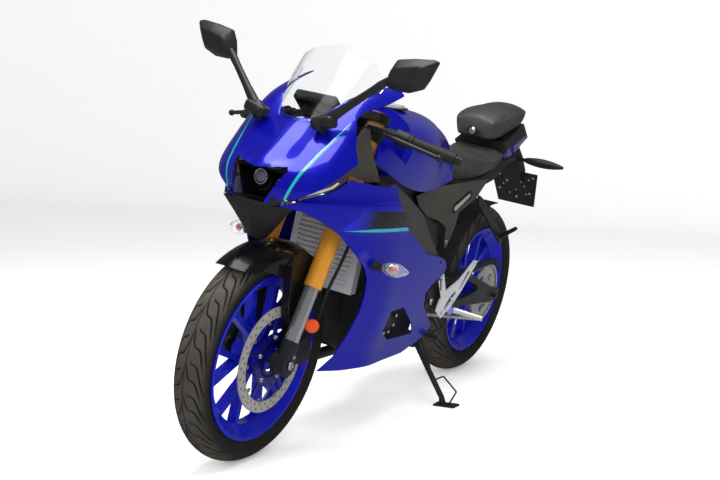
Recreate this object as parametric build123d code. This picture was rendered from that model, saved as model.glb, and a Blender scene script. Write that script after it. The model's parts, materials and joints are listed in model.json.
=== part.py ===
"""Sport bike of the 125 class, parked on its side stand.

Everything is drawn on the upright bike first: +X is the rider's left, +Y the rear, +Z up, with the
origin on the ground half way between the axles. Each sub-part is then leaned over onto the side
stand and written to its own STEP file. Lengths are millimetres, angles are degrees.
"""

import os
from math import acos, asin, atan2, cos, degrees, hypot, pi, radians, sin, tan

from build123d import *

# ---------------------------------------------------------------- chassis layout
WHEELBASE = 1325.0
CASTER = 25.0                 # steering axis from the vertical
TRAIL = 88.0                  # ground trail at the front tyre
LEAN = 10.44                  # lean to the left on the side stand
STEERING_LOCK = 30.0          # turn of the steering to each side

# ---------------------------------------------------------------- wheels
RIM_SEAT_R = 216.0            # 17 inch bead seat
RIM_LIP_R = 231.0
RIM_LIP_T = 6.0
RIM_WALL = 8.0
FRONT_TYRE_R = 296.0
FRONT_TYRE_W = 100.0
FRONT_CROWN_R = 58.0
FRONT_RIM_W = 70.0            # between the lips
REAR_TYRE_R = 314.0
REAR_TYRE_W = 140.0
REAR_CROWN_R = 74.0
REAR_RIM_W = 95.0
TYRE_WALL = 8.0
SPOKE_PAIRS = 6
HUB_R = 30.0
FRONT_AXLE_R = 10.0
FRONT_AXLE_BORE_R = 6.0
REAR_AXLE_R = 8.0
AXLE_PLAY = 0.05              # radial running clearance in the wheel bearings
FRONT_HUB_HALF = 52.0
REAR_HUB_HALF = 62.0
STAND_HOLE = (618.0, 312.0)   # y, z of the threaded holes for paddock-stand bobbins
STAND_HOLE_R = 4.0
STAND_HOLE_DEPTH = 18.0

# ---------------------------------------------------------------- brakes and drive
FRONT_DISC_R = 146.0
FRONT_DISC_BAND = 30.0
FRONT_DISC_X = 58.0
REAR_DISC_R = 110.0
REAR_DISC_X = -78.0
DISC_T = 4.5
DISC_HOLE_R = 4.5
CHAIN_X = 84.0
CHAIN_W = 14.0
CHAIN_H = 11.0
REAR_SPROCKET_R = 103.0
FRONT_SPROCKET_R = 28.0
SPROCKET_T = 6.0
COUNTERSHAFT = (50.0, 356.0)   # y, z of the drive sprocket
PIVOT = (122.0, 365.0)         # y, z of the swingarm pivot
PIVOT_R = 12.0

# ---------------------------------------------------------------- fork and steering
FORK_SPREAD = 95.0            # fork leg from the middle plane
FORK_OUTER_R = 26.0
FORK_INNER_R = 20.5
FORK_BORE_PLAY = 0.3
FORK_LOWER_R = 25.0
FORK_TOP_Z = 962.0
FORK_OUTER_END_Z = 492.0
FORK_INNER_END_Z = 310.0
TOP_YOKE_Z = 934.0
LOWER_YOKE_Z = 745.0
YOKE_T = 26.0
STEM_R = 17.0
HEAD_TUBE_R = 31.0
HEAD_PLAY = 0.05
HEAD_GAP = 1.0                # above and below the head tube, under the yokes' dust covers

# ---------------------------------------------------------------- frame and swingarm
SPAR_X = (93.0, 104.0)
ARM_X = (107.0, 127.0)

# ---------------------------------------------------------------- bodywork
PANEL_T = 3.0
SCREEN_T = 3.0

FRONT_AXLE = (-WHEELBASE / 2, FRONT_TYRE_R)
REAR_AXLE = (WHEELBASE / 2, REAR_TYRE_R)
STEER_SLOPE = tan(radians(CASTER))
STEER_GROUND_Y = FRONT_AXLE[0] - TRAIL


# ================================================================ helpers
def side_prism(outline, x_low, x_high):
    """Side-view outline of (y, z) points, as a solid from x_low to x_high."""
    face = Plane.YZ.offset(x_low) * make_face(Polyline(*outline, close=True))
    return extrude(face, x_high - x_low, dir=(1, 0, 0))


def rounded_side_prism(outline, radius, x_low, x_high):
    """Side-view outline with round corners, as a solid from x_low to x_high."""
    face = Plane.YZ.offset(x_low) * make_face(FilletPolyline(*outline, radius=radius, close=True))
    return extrude(face, x_high - x_low, dir=(1, 0, 0))


def front_prism(outline, y_low, y_high):
    """Front-view outline of (x, z) points, as a solid from y_low to y_high."""
    face = Plane(origin=(0, y_low, 0), x_dir=(1, 0, 0), z_dir=(0, -1, 0)) * make_face(
        Polyline(*outline, close=True)
    )
    return extrude(face, y_high - y_low, dir=(0, 1, 0))


def plan_prism(outline, z_low, z_high):
    """Plan-view outline of (x, y) points, as a solid from z_low to z_high."""
    face = Plane.XY.offset(z_low) * make_face(Polyline(*outline, close=True))
    return extrude(face, z_high - z_low, dir=(0, 0, 1))


def rod(start, end, radius, end_radius=None):
    """Round bar between two points, tapered when an end radius is given."""
    axis = Vector(*end) - Vector(*start)
    base = Plane(origin=start, z_dir=axis) * Circle(radius)
    if end_radius is None:
        return extrude(base, axis.length)
    return loft([base.face(), (Plane(origin=end, z_dir=axis) * Circle(end_radius)).face()])


def tube(start, end, radius, bore):
    """Round tube between two points."""
    axis = Vector(*end) - Vector(*start)
    ring = Circle(radius) - Circle(bore)
    return extrude(Plane(origin=start, z_dir=axis) * ring, axis.length)


def bent_rod(points, radius, bend):
    """Round bar along straight runs joined by arcs."""
    path = FilletPolyline(*points, radius=bend)
    return sweep(Plane(origin=path @ 0, z_dir=path % 0) * Circle(radius), path=path)


def both_sides(shape):
    """The shape and its mirror image across the middle plane, as one compound of separate solids."""
    return Compound([*shape.solids(), *mirror(shape, about=Plane.YZ).solids()])


def left_half(shape):
    return shape & Pos(500, 0, 600) * Box(1000, 4000, 2400)


def largest(shape):
    """The biggest of a shape's solids, without the slivers that a trim leaves."""
    return shape.solids().sort_by(SortBy.VOLUME)[-1]


def turned(profile, y, z):
    """Closed (x, r) profile turned about a wheel's axle at (y, z)."""
    return Pos(0, y, z) * revolve(make_face(profile), Axis.X, 360)


def ring_at(y, z, x_low, x_high, radius, bore):
    """Flat ring or disc on a wheel's axle."""
    profile = Circle(radius) - Circle(bore) if bore else Circle(radius)
    return extrude(Plane(origin=(x_low, y, z), z_dir=(1, 0, 0)) * profile, x_high - x_low)


def fork_y(z):
    """Where the fork legs' axis is at height z."""
    return FRONT_AXLE[0] + (z - FRONT_AXLE[1]) * STEER_SLOPE


def steer_y(z):
    """Where the steering axis is at height z."""
    return STEER_GROUND_Y + z * STEER_SLOPE


STEER_DIR = Vector(0, sin(radians(CASTER)), cos(radians(CASTER)))
YOKE_OFFSET = (STEER_GROUND_Y - fork_y(0)) * cos(radians(CASTER))


def steer_z(z):
    """Height on the steering axis of the plane that crosses the legs squarely at height z."""
    return z - YOKE_OFFSET * sin(radians(CASTER))


def fork_plane(z, x=0.0):
    """Plane square to the fork, with its origin on the legs' axis at height z."""
    return Plane(origin=(x, fork_y(z), z), x_dir=(1, 0, 0), z_dir=STEER_DIR)


# ================================================================ wheels
def tyre(radius, width, crown_radius, rim_width, axle):
    """Hollow tyre: round crown, bulged sidewalls and beads against the rim's lips."""
    half, bead = width / 2, rim_width / 2
    shoulder = radius - crown_radius + (crown_radius**2 - half**2) ** 0.5
    waist = (RIM_LIP_R + shoulder) / 2
    waist_x = (half + bead) / 2 + 0.16 * (half - bead) + 1.5
    inner_top = radius - TYRE_WALL
    profile = (
        Line((bead, RIM_SEAT_R), (bead, RIM_LIP_R))
        + ThreePointArc((bead, RIM_LIP_R), (waist_x, waist), (half, shoulder))
        + ThreePointArc((half, shoulder), (0, radius), (-half, shoulder))
        + ThreePointArc((-half, shoulder), (-waist_x, waist), (-bead, RIM_LIP_R))
        + Polyline(
            (-bead, RIM_LIP_R),
            (-bead, RIM_SEAT_R),
            (-bead + TYRE_WALL, RIM_SEAT_R),
            (-half + 1.2 * TYRE_WALL, shoulder),
            (-half * 0.5, inner_top - (radius - shoulder) * 0.25),
            (half * 0.5, inner_top - (radius - shoulder) * 0.25),
            (half - 1.2 * TYRE_WALL, shoulder),
            (bead - TYRE_WALL, RIM_SEAT_R),
            (bead, RIM_SEAT_R),
        )
    )
    return turned(profile, *axle)


def rim(rim_width, hub_half, axle_r, spoke_t, axle):
    """Cast wheel: drop-centre rim, paired spokes that part like a Y, and a hub bored for the axle."""
    bead = rim_width / 2
    lip = bead + RIM_LIP_T
    well = RIM_SEAT_R - 16
    half = [
        (lip, RIM_LIP_R),
        (bead, RIM_LIP_R),
        (bead, RIM_SEAT_R),
        (bead * 0.62, RIM_SEAT_R - 2),
        (bead * 0.42, well),
    ]
    inner = [
        (bead * 0.42, well - RIM_WALL),
        (bead * 0.75, RIM_SEAT_R - 2 - RIM_WALL),
        (lip, RIM_LIP_R - 9),
    ]
    profile = Polyline(
        *half, *[(-x, r) for x, r in reversed(half)], *[(-x, r) for x, r in reversed(inner)], *inner, close=True
    )
    shell = revolve(make_face(profile), Axis.X, 360)
    # one pair of spokes, in the wheel's plane: the stem leaves the hub and parts into two blades
    pair = [
        (-15, HUB_R - 6),
        (-11, 78),
        (-60, well - 3),
        (-42, well - 2),
        (0, 96),
        (42, well - 2),
        (60, well - 3),
        (11, 78),
        (15, HUB_R - 6),
    ]
    spokes = []
    for k in range(SPOKE_PAIRS):
        blade = side_prism(pair, -spoke_t / 2, spoke_t / 2)
        spokes.append(Rot(X=360 / SPOKE_PAIRS * (k + 0.5)) * blade)
    hub = ring_at(0, 0, -hub_half, hub_half, HUB_R, axle_r + AXLE_PLAY)
    solid = shell + spokes
    solid = solid - ring_at(0, 0, -hub_half, hub_half, HUB_R - 1, 0) + hub
    return Pos(0, *axle) * solid


def brake_disc(radius, band, x, axle, carrier_r, arms):
    """Drilled disc on a carrier whose arms reach the hub."""
    disc = ring_at(0, 0, x - DISC_T / 2, x + DISC_T / 2, radius, radius - band)
    holes = []
    rows = ((radius - band * 0.28, 0.0), (radius - band * 0.72, 0.5))   # radius, offset in pitches
    count = 30
    for row_r, offset in rows:
        for k in range(count):
            a = 2 * pi * (k + offset) / count
            holes.append(rod((x - 5, row_r * cos(a), row_r * sin(a)), (x + 5, row_r * cos(a), row_r * sin(a)), DISC_HOLE_R))
    disc = disc - holes
    carrier = ring_at(0, 0, x - DISC_T / 2, x + DISC_T / 2, carrier_r, HUB_R + 3)
    blades = [Rot(X=360 / arms * k) * (Pos(x, 0, (radius - band + carrier_r) / 2) * Box(DISC_T, 16, radius - band - carrier_r + 8)) for k in range(arms)]
    return Pos(0, *axle) * (disc + carrier + blades)


def chain_wheel(radius, bore, axle, x, windows):
    """Sprocket with round windows between its arms; the teeth stand between the chain's rollers."""
    plate = ring_at(0, 0, x - SPROCKET_T / 2, x + SPROCKET_T / 2, radius - CHAIN_H / 2 - 0.5, bore)
    if windows:
        mid = (radius + bore) / 2
        cuts = [
            Rot(X=360 / windows * (k + 0.5)) * (Pos(x, 0, mid - 4) * (Rot(Y=90) * Cylinder(mid * 0.21, 2 * SPROCKET_T)))
            for k in range(windows)
        ]
        plate = plate - cuts
    return Pos(0, *axle) * plate


def chain():
    """Closed loop of the drive chain round both sprockets."""
    ay, az = COUNTERSHAFT
    by, bz = REAR_AXLE
    reach = hypot(by - ay, bz - az)
    along = atan2(bz - az, by - ay)
    tilt = asin((REAR_SPROCKET_R - FRONT_SPROCKET_R) / reach)

    def loop(offset):
        small, large = FRONT_SPROCKET_R + offset, REAR_SPROCKET_R + offset
        up, low = along + pi / 2 + tilt, along - pi / 2 - tilt
        front = [(ay + small * cos(a), az + small * sin(a)) for a in (up, along + pi, low)]
        rear = [(by + large * cos(a), bz + large * sin(a)) for a in (low, along, up)]
        return make_face(
            ThreePointArc(*front) + Line(front[2], rear[0]) + ThreePointArc(*rear) + Line(rear[2], front[0])
        )

    band = loop(CHAIN_H / 2) - loop(-CHAIN_H / 2)
    return extrude(Plane.YZ.offset(CHAIN_X - CHAIN_W / 2) * band, CHAIN_W, dir=(1, 0, 0))


# ================================================================ steering
def fork_legs(radius, bore, z_low, z_high):
    """Both legs' tubes between two heights."""
    legs = []
    for side in (-1, 1):
        x = side * FORK_SPREAD
        legs.append(tube((x, fork_y(z_low), z_low), (x, fork_y(z_high), z_high), radius, bore))
    return legs


def yokes():
    """Top and lower yoke with the steering stem between them."""
    parts = []
    for z, reach in ((TOP_YOKE_Z, 0.0), (LOWER_YOKE_Z, 4.0)):
        outline = Pos(0, -4) * RectangleRounded(2 * FORK_SPREAD + 76, 62 + reach, 28)
        neck = Pos(0, 34) * RectangleRounded(96, 76, 24)
        plate = extrude(fork_plane(z) * (outline + neck), YOKE_T)
        for side in (-1, 1):
            plate -= extrude(fork_plane(z - 20, side * FORK_SPREAD) * Circle(FORK_OUTER_R), 90)
        parts.append(plate)
    z_low, z_high = steer_z(LOWER_YOKE_Z) + 4, steer_z(TOP_YOKE_Z) + 8
    stem = rod((0, steer_y(z_low), z_low), (0, steer_y(z_high), z_high), STEM_R)
    return parts[0] + parts[1] + stem


AXLE_LUG_R = 30.0


def fork_bottoms():
    """Axle lugs at the foot of each leg, joined by the hollow wheel axle."""
    shape = tube((-FORK_SPREAD - 26, *FRONT_AXLE), (FORK_SPREAD + 26, *FRONT_AXLE), FRONT_AXLE_R, FRONT_AXLE_BORE_R)
    for side in (-1, 1):
        x = side * FORK_SPREAD
        leg = rod((x, fork_y(268), 268), (x, fork_y(352), 352), FORK_LOWER_R, FORK_INNER_R + 4)
        lug = ring_at(*FRONT_AXLE, x - 22, x + 22, AXLE_LUG_R, 0)
        boss = (leg + lug) - rod((x, fork_y(FORK_INNER_END_Z), FORK_INNER_END_Z), (x, fork_y(370), 370), FORK_INNER_R)
        shape += boss - ring_at(*FRONT_AXLE, x - 40, x + 40, FRONT_AXLE_R - 1, 0)
    return shape - rod((-200, *FRONT_AXLE), (200, *FRONT_AXLE), FRONT_AXLE_BORE_R)


FENDER_R = FRONT_TYRE_R + 20.0
FENDER_T = 3.0


def front_fender():
    """Arched mudguard between the legs with a guard plate down the inner side of each leg."""
    half = 64.0
    crown = 78.0
    top = (0, FENDER_R)
    drop = crown - (crown**2 - half**2) ** 0.5

    def skin(grow):
        r = FENDER_R + grow
        return (
            ThreePointArc((-half - grow, r - drop - grow), (0, r), (half + grow, r - drop - grow))
            + Polyline((half + grow, r - drop - grow), (half + grow, 226), (-half - grow, 226), (-half - grow, r - drop - grow))
        )

    arc = revolve(make_face(skin(FENDER_T)) - make_face(skin(0)), Axis.X, 360)
    arc = Pos(0, *FRONT_AXLE) * arc
    y0, z0 = FRONT_AXLE
    window = [
        (y0 - 196, z0 + 268),
        (y0 - 168, z0 + 345),
        (y0 + 30, z0 + 345),
        (y0 + 128, z0 + 300),
        (y0 + 105, z0 + 245),
        (y0 + 20, z0 + 235),
        (y0 - 12, z0 + 226),
        (y0 - 60, z0 + 244),
        (y0 - 105, z0 + 256),
        (y0 - 158, z0 + 256),
    ]
    arch = arc & side_prism(window, -100, 100)
    guards = both_sides(guard_plate())
    legs = [*fork_legs(FORK_OUTER_R, 1, FORK_OUTER_END_Z, 700), *fork_legs(FORK_INNER_R, 1, FORK_INNER_END_Z, 600)]
    return Part() + [arch, *guards.solids()] - legs - fork_bottoms()


GUARD_X = FRONT_DISC_X + DISC_T / 2 + 5.75   # inner face of the guard plates, clear of the disc
GUARD_T = 3.5
GUARD_LIP_X = 88.0


def guard_plate():
    """Plate between disc and leg that sweeps down from the mudguard, with a lip turned out ahead of the leg."""
    y0, z0 = FRONT_AXLE
    front = [(y0 - 10, z0 + 262), (y0 - 10, z0 + 234), (y0 - 5, z0 + 168), (y0 + 12, z0 + 104), (y0 + 22, z0 + 56)]
    rear = [(y0 + 45, z0 + 44), (y0 + 57, z0 + 92), (y0 + 90, z0 + 166), (y0 + 142, z0 + 234), (y0 + 142, z0 + 262), (y0 + 60, z0 + 300)]
    plate = side_prism([*front, *rear], GUARD_X, GUARD_X + GUARD_T)
    edge = front[:4]
    lip = side_prism([*edge, *[(y + GUARD_T, z) for y, z in reversed(edge)]], GUARD_X, GUARD_LIP_X)
    return plate + lip


def front_caliper():
    """Caliper that straddles the disc behind the left leg, on a bracket from the axle lug."""
    y0, z0 = FRONT_AXLE
    tilt = 10
    y, z = y0 + (FRONT_DISC_R - 22) * cos(radians(tilt)), z0 + (FRONT_DISC_R - 22) * sin(radians(tilt))
    body = Rot(X=tilt) * Box(50, 58, 96)
    slot = Rot(X=tilt) * (Pos(0, -6, 0) * Box(DISC_T + 6, 62, 120))
    body = fillet(body.edges().filter_by(Axis.X), 12) - slot
    arm = side_prism([(y0 + 8, z0 - 26), (y, z - 34), (y, z + 34), (y0 + 8, z0 + 28)], 83, 91)
    arm -= ring_at(y0, z0, 70, 120, AXLE_LUG_R, 0)
    return Pos(FRONT_DISC_X, y, z) * body + arm - fork_bottoms() - fork_legs(FORK_INNER_R, 1, FORK_INNER_END_Z, 600)


CLIP_Z = 900.0
GRIP_IN = (222.0, -383.0, 909.0)
GRIP_OUT = (344.0, -353.0, 886.0)
GRIP_R = 16.5
BAR_R = 11.0


def bar_point(t):
    """Point on the left bar's axis: 0 at the grip's inner end, 1 at its outer end."""
    return tuple(a + (b - a) * t for a, b in zip(GRIP_IN, GRIP_OUT))


def handlebars():
    """Clip-on bars: a clamp round each leg under the top yoke, with the bar that leaves it."""
    clamp = extrude(fork_plane(CLIP_Z - 14, FORK_SPREAD) * (Circle(FORK_OUTER_R + 8) - Circle(FORK_OUTER_R + 0.1)), 32)
    bar = rod(bar_point(-1.02), bar_point(1.07), BAR_R)
    bar -= extrude(fork_plane(CLIP_Z - 60, FORK_SPREAD) * Circle(FORK_OUTER_R + 3), 130)
    weight = rod(bar_point(1.03), bar_point(1.17), 15, 12)
    return both_sides(clamp + bar + weight)


def grips():
    sleeve = tube(bar_point(0.0), bar_point(1.0), GRIP_R, BAR_R)
    flange = tube(bar_point(-0.05), bar_point(0.03), GRIP_R + 4, BAR_R)
    return both_sides(sleeve + flange)


def controls():
    """Switch housings beside the grips and the perches that carry the levers."""
    housing = tube(bar_point(-0.36), bar_point(-0.06), 22, BAR_R)
    perch = tube(bar_point(-0.56), bar_point(-0.40), 15, BAR_R)
    px, py, pz = bar_point(-0.48)
    arm = rod((px, py - 10, pz), (px + 8, py - 44, pz + 2), 9)
    bar = rod(bar_point(-0.7), bar_point(0.1), BAR_R)
    return both_sides(housing + (perch + arm - bar))


def levers():
    """Clutch and brake lever, each a flat blade with a round tip."""
    px, py, pz = bar_point(-0.48)
    route = [(px + 8, py - 54, pz + 2), (px + 50, py - 62, pz - 4), (px + 175, py - 44, pz - 30)]
    blade = bent_rod(route, 6, 60) + Pos(*route[-1]) * Sphere(9)
    return both_sides(blade)


def brake_hose():
    """Hose from the front master cylinder down the fork to the caliper."""
    y0, z0 = FRONT_AXLE
    route = [(FORK_SPREAD + 36, fork_y(700) + 34, 700), (FORK_SPREAD + 40, fork_y(640) + 40, 640), (FORK_SPREAD + 34, fork_y(560) + 44, 560), (FORK_SPREAD + 22, fork_y(480) + 50, 480), (FORK_SPREAD + 6, y0 + 140, 400)]
    return bent_rod(route, 4.5, 60)


# ================================================================ chassis structure
ENGINE_BOX = ((-106.0, 70.0), (-235.0, 100.0), (226.0, 560.0))


FOOT_PLATE_X = (138.0, 143.0)


def frame_spars():
    """Pair of pressed spars from the steering head back to the swingarm pivot."""
    z_low = steer_z(LOWER_YOKE_Z) + (YOKE_T + HEAD_GAP) * STEER_DIR.Z
    z_high = steer_z(TOP_YOKE_Z) - HEAD_GAP * STEER_DIR.Z
    head = tube((0, steer_y(z_low), z_low), (0, steer_y(z_high), z_high), HEAD_TUBE_R, STEM_R + HEAD_PLAY)
    outline = [
        (steer_y(850) + 54, 850),
        (steer_y(792) + 59, 792),
        (-250, 700),
        (-60, 640),
        (70, 560),
        (92, 330),
        (150, 330),
        (152, 600),
        (96, 712),
        (-60, 748),
        (-240, 820),
    ]
    spar = side_prism(outline, *SPAR_X)
    root = steer_y(850) + 2
    web = plan_prism([(14, root), (58, root + 36), (SPAR_X[1], root + 60), (SPAR_X[1], root + 90), (58, root + 76), (14, root + 30)], 792, 846)
    cross = Pos(0, 118, 600) * Box(2 * SPAR_X[0] + 2, 34, 40)
    pivot = rod((-SPAR_X[1], *PIVOT), (SPAR_X[1], *PIVOT), PIVOT_R)
    whole = Part() + [*both_sides(spar).solids(), *both_sides(web).solids(), head, cross, pivot]
    spacers = [rod((side * SPAR_X[1], 140, 452), (side * FOOT_PLATE_X[0], 140, 452), 9) for side in (-1, 1)]
    bore = rod((0, steer_y(700), 700), (0, steer_y(960), 960), STEM_R + HEAD_PLAY)
    return whole + spacers - bore


def subframe():
    """Seat rails that rise to the tail, tied by two cross tubes."""
    rail = bent_rod([(80, 60, 700), (80, 300, 724), (70, 540, 766), (54, 790, 804)], 11, 120)
    lug = Pos((76 + SPAR_X[0]) / 2, 62, 700) * Box(SPAR_X[0] - 76, 44, 34)
    ties = [rod((-74, 420, 745), (74, 420, 745), 9), rod((-58, 720, 793), (58, 720, 793), 9)]
    return Part() + [*both_sides(rail + lug).solids(), *ties]


def engine():
    """One plain block of the engine's size, notched where the frame passes it."""
    (x0, x1), (y0, y1), (z0, z1) = ENGINE_BOX
    block = Pos((x0 + x1) / 2, (y0 + y1) / 2, (z0 + z1) / 2) * Box(x1 - x0, y1 - y0, z1 - z0)
    return fillet(block.edges().filter_by(Axis.X), 40) - frame_spars()


RADIATOR_Z = (452.0, 700.0)
RADIATOR_HALF = 116.0
RADIATOR_T = 28.0
RADIATOR_FRONT_Y = -392.0


def radiator():
    """Finned core between two side tanks, leaning back at the top to clear the turned fork legs."""
    z0, z1 = RADIATOR_Z
    slope = -0.12
    y0 = RADIATOR_FRONT_Y
    body = side_prism(
        [(y0, z0), (y0 + RADIATOR_T, z0), (y0 + RADIATOR_T - (z1 - z0) * slope, z1), (y0 - (z1 - z0) * slope, z1)],
        -RADIATOR_HALF,
        RADIATOR_HALF,
    )
    grooves = []
    rows = 16
    for k in range(rows):
        z = z0 + 14 + (z1 - z0 - 28) * (k + 0.5) / rows
        y = y0 - (z - z0) * slope
        grooves.append(Pos(0, y, z) * Box(2 * RADIATOR_HALF - 44, 8, (z1 - z0 - 28) / rows * 0.45))
    return body - grooves


BRIDGE_TOP_Z = 372.0


def swingarm():
    """Two box arms from the pivot to the axle, tied behind the pivot, with a window in each arm."""
    y1, z1 = REAR_AXLE
    outline = [(96, 398), (160, 412), (400, 428), (y1 - 20, z1 + 30), (y1 + 44, z1 + 20), (y1 + 50, z1 - 18), (y1 - 30, z1 - 24), (300, 318), (96, 346)]
    window = [(250, 396), (400, 402), (540, 354), (400, 338), (270, 340)]
    arm = side_prism(outline, *ARM_X) - rounded_side_prism(window, 10, ARM_X[0] - 10, ARM_X[1] + 10)
    bridge = Pos(0, 200, BRIDGE_TOP_Z - 22) * Box(2 * ARM_X[0] + 2, 70, 44)
    solid = Part() + [*both_sides(arm).solids(), bridge]
    solid -= rod((-150, *PIVOT), (150, *PIVOT), PIVOT_R)
    for side in (-1, 1):
        x = side * ARM_X[1]
        solid -= rod((x - side * STAND_HOLE_DEPTH, *STAND_HOLE), (x + side, *STAND_HOLE), STAND_HOLE_R)
    axle = rod((-ARM_X[1] - 14, *REAR_AXLE), (ARM_X[1] + 14, *REAR_AXLE), REAR_AXLE_R)
    pivot_bolts = [rod((side * SPAR_X[1], *PIVOT), (side * (ARM_X[1] + 5), *PIVOT), PIVOT_R) for side in (-1, 1)]
    return solid + axle + pivot_bolts


def shock():
    """Coil spring and damper that lean forward between the swingarm's bridge and the cross member."""
    low, high = (0, 214, BRIDGE_TOP_Z - 6), (0, 139, 596)
    shape = rod(low, high, 14) + rod((0, 206, 398), (0, 152, 566), 29)
    shape -= Pos(0, 200, BRIDGE_TOP_Z - 50) * Box(100, 100, 100)
    return shape - Pos(0, 118, 600) * Box(100, 34, 40)


def hugger():
    """Inner mudguard close over the rear tyre."""
    y1, z1 = REAR_AXLE
    outer = ring_at(y1, z1, -76, 76, REAR_TYRE_R + 18, REAR_TYRE_R + 14)
    window = [(y1 - 360, z1 + 40), (y1 - 360, z1 + 360), (y1 + 10, z1 + 360), (y1 + 10, z1 + 240), (y1 - 180, z1 + 120)]
    return outer & side_prism(window, -100, 100)


def chain_guard():
    """Guard over the chain's upper run: a side plate with a narrow top."""
    y1, z1 = REAR_AXLE
    top = [(y1 - 322, z1 + 100), (y1 - 20, z1 + 124), (y1 + 60, z1 + 120)]
    outline = [*top, (y1 + 104, z1 + 82), (y1 + 96, z1 + 70), (y1 + 50, z1 + 102), (y1 - 20, z1 + 106), (y1 - 322, z1 + 80)]
    plate = side_prism(outline, CHAIN_X + 10, CHAIN_X + 13)
    cover = side_prism([*top, *[(y, z - 3) for y, z in reversed(top)]], CHAIN_X - 5, CHAIN_X + 11)
    stays = [rod((CHAIN_X + 12, y, z), (ARM_X[0] + 1, y, z), 5) for y, z in ((y1 - 300, z1 + 90),)]
    return plate + cover + stays - side_prism([(0, 200), (900, 200), (900, 344), (600, 380), (400, 428), (0, 412)], ARM_X[0], ARM_X[1])


def exhaust():
    """Header from the cylinder down under the engine to a short silencer low on the right."""
    header = bent_rod(
        [(-20, -234, 470), (-30, -320, 400), (-60, -300, 196), (-64, 30, 188), (-150, 150, 196), (-172, 240, 216)], 17, 42
    )
    # centre x, y, z, half width, half height
    stations = ((-172, 232, 213, 26, 34), (-174, 310, 238, 36, 48), (-180, 540, 312, 36, 50))
    way = (0, 0.95, 0.31)
    can = loft([(Plane(origin=(x, y, z), x_dir=(1, 0, 0), z_dir=way) * Ellipse(a, b)).face() for x, y, z, a, b in stations])
    return header + can - engine()


# ================================================================ bodywork
# upper cowl, front to rear: y, ridge z, shoulder (x, z), widest (x, z), lower edge (x, z)
COWL_SECTIONS = (
    (-786, 806, (30, 806), (52, 770), (44, 724)),
    (-760, 829, (54, 822), (95, 775), (80, 722)),
    (-733, 851, (80, 834), (140, 775), (118, 716)),
    (-690, 886, (96, 872), (176, 785), (150, 706)),
    (-640, 927, (112, 915), (196, 795), (172, 692)),
    (-570, 985, (124, 975), (212, 810), (192, 664)),
    (-480, 1042, (140, 1012), (224, 825), (206, 640)),
    (-370, 1082, (158, 1036), (230, 840), (215, 632)),
)
INTAKE = ((0, 812), (76, 824), (82, 815), (45, 726), (-45, 726), (-82, 815), (-76, 824))
DRL_SLIT = ((-790, 741), (-763, 782), (-711, 816), (-655, 846), (-655, 822), (-679, 791), (-701, 772), (-738, 748), (-790, 727))


def cowl_section(row, inset):
    """Half section of the cowl; an inset moves the skin in and the open edges out of the way."""
    y, ridge, (sx, sz), (wx, wz), (bx, bz) = row
    centre = -inset
    sx, sz, wx, bx, ridge, bz = sx - inset * 0.6, sz - inset, wx - inset, bx - inset, ridge - inset, bz - 4 * inset
    mid = ((sx + wx) / 2 + (sz - wz) * 0.13, (sz + wz) / 2 + (wx - sx) * 0.13)
    low = ((wx + bx) / 2 + 3, (wz + bz) / 2)
    edge = (
        Line((centre, ridge), (sx, sz))
        + ThreePointArc((sx, sz), mid, (wx, wz))
        + ThreePointArc((wx, wz), low, (bx, bz))
        + Polyline((bx, bz), (centre, bz), (centre, ridge))
    )
    return (Plane(origin=(0, y, 0), x_dir=(1, 0, 0), z_dir=(0, -1, 0)) * make_face(edge)).face()


def cowl_block():
    """Left half of everything inside the cowl's outer face."""
    return loft([cowl_section(row, 0) for row in COWL_SECTIONS], ruled=True)


def cowl_skin():
    """Left half of the cowl as a thin skin, open below and behind."""
    first, last = COWL_SECTIONS[0], COWL_SECTIONS[-1]
    rows = ((first[0] + PANEL_T, *first[1:]), *COWL_SECTIONS[1:-1], (last[0] + 4, *last[1:]))
    return cowl_block() - loft([cowl_section(row, PANEL_T) for row in rows], ruled=True)


SCREEN_HOLE = ((0, -627), (58, -614), (96, -566), (112, -500), (136, -366), (136, -300), (0, -300))
COWL_OUTLINE = (
    (-800, 742), (-792, 728), (-770, 741), (-763, 786), (-711, 820), (-655, 850), (-638, 843),
    (-613, 826), (-606, 850), (-604, 886), (-588, 925), (-570, 957), (-542, 976), (-484, 990),
    (-430, 1006), (-368, 1026), (-360, 1060), (-500, 1140), (-800, 1000),
)


def nose_cowl():
    """Upper cowl: a thin skin from the nose's tip to the wings beside the screen."""
    skin = cowl_skin() & side_prism(COWL_OUTLINE, 0, 400)
    skin -= plan_prism(SCREEN_HOLE, 880, 1200)
    skin -= front_prism(INTAKE, -830, -690)
    whole = Part() + skin + mirror(skin, about=Plane.YZ)
    return whole


# side fairing, low to high: z, x at y=-800, x at -580, x at -350, x at +120
SIDE_LEVELS = (
    (238, 60, 136, 182, 152),
    (300, 64, 142, 186, 160),
    (365, 72, 152, 200, 170),
    (430, 78, 162, 208, 182),
    (490, 78, 168, 211, 188),
    (567, 72, 172, 212, 198),
    (650, 66, 178, 219, 206),
    (730, 66, 190, 226, 212),
    (850, 84, 196, 230, 214),
)
SIDE_OUTLINE = (
    (-775, 726), (-760, 731), (-738, 746), (-701, 768), (-679, 787), (-660, 822), (-651, 836),
    (-600, 812), (-500, 790), (-408, 786), (-386, 726), (-307, 669), (-200, 608), (-126, 567),
    (-30, 548), (30, 530), (58, 503), (52, 480), (-15, 462), (-60, 434), (-42, 390), (58, 322),
    (88, 296), (20, 264), (-110, 245), (-320, 252), (-470, 258), (-560, 268), (-512, 304),
    (-485, 362), (-463, 430), (-457, 489), (-462, 527), (-488, 567), (-528, 602), (-590, 652),
    (-665, 693), (-723, 717),
)


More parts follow.
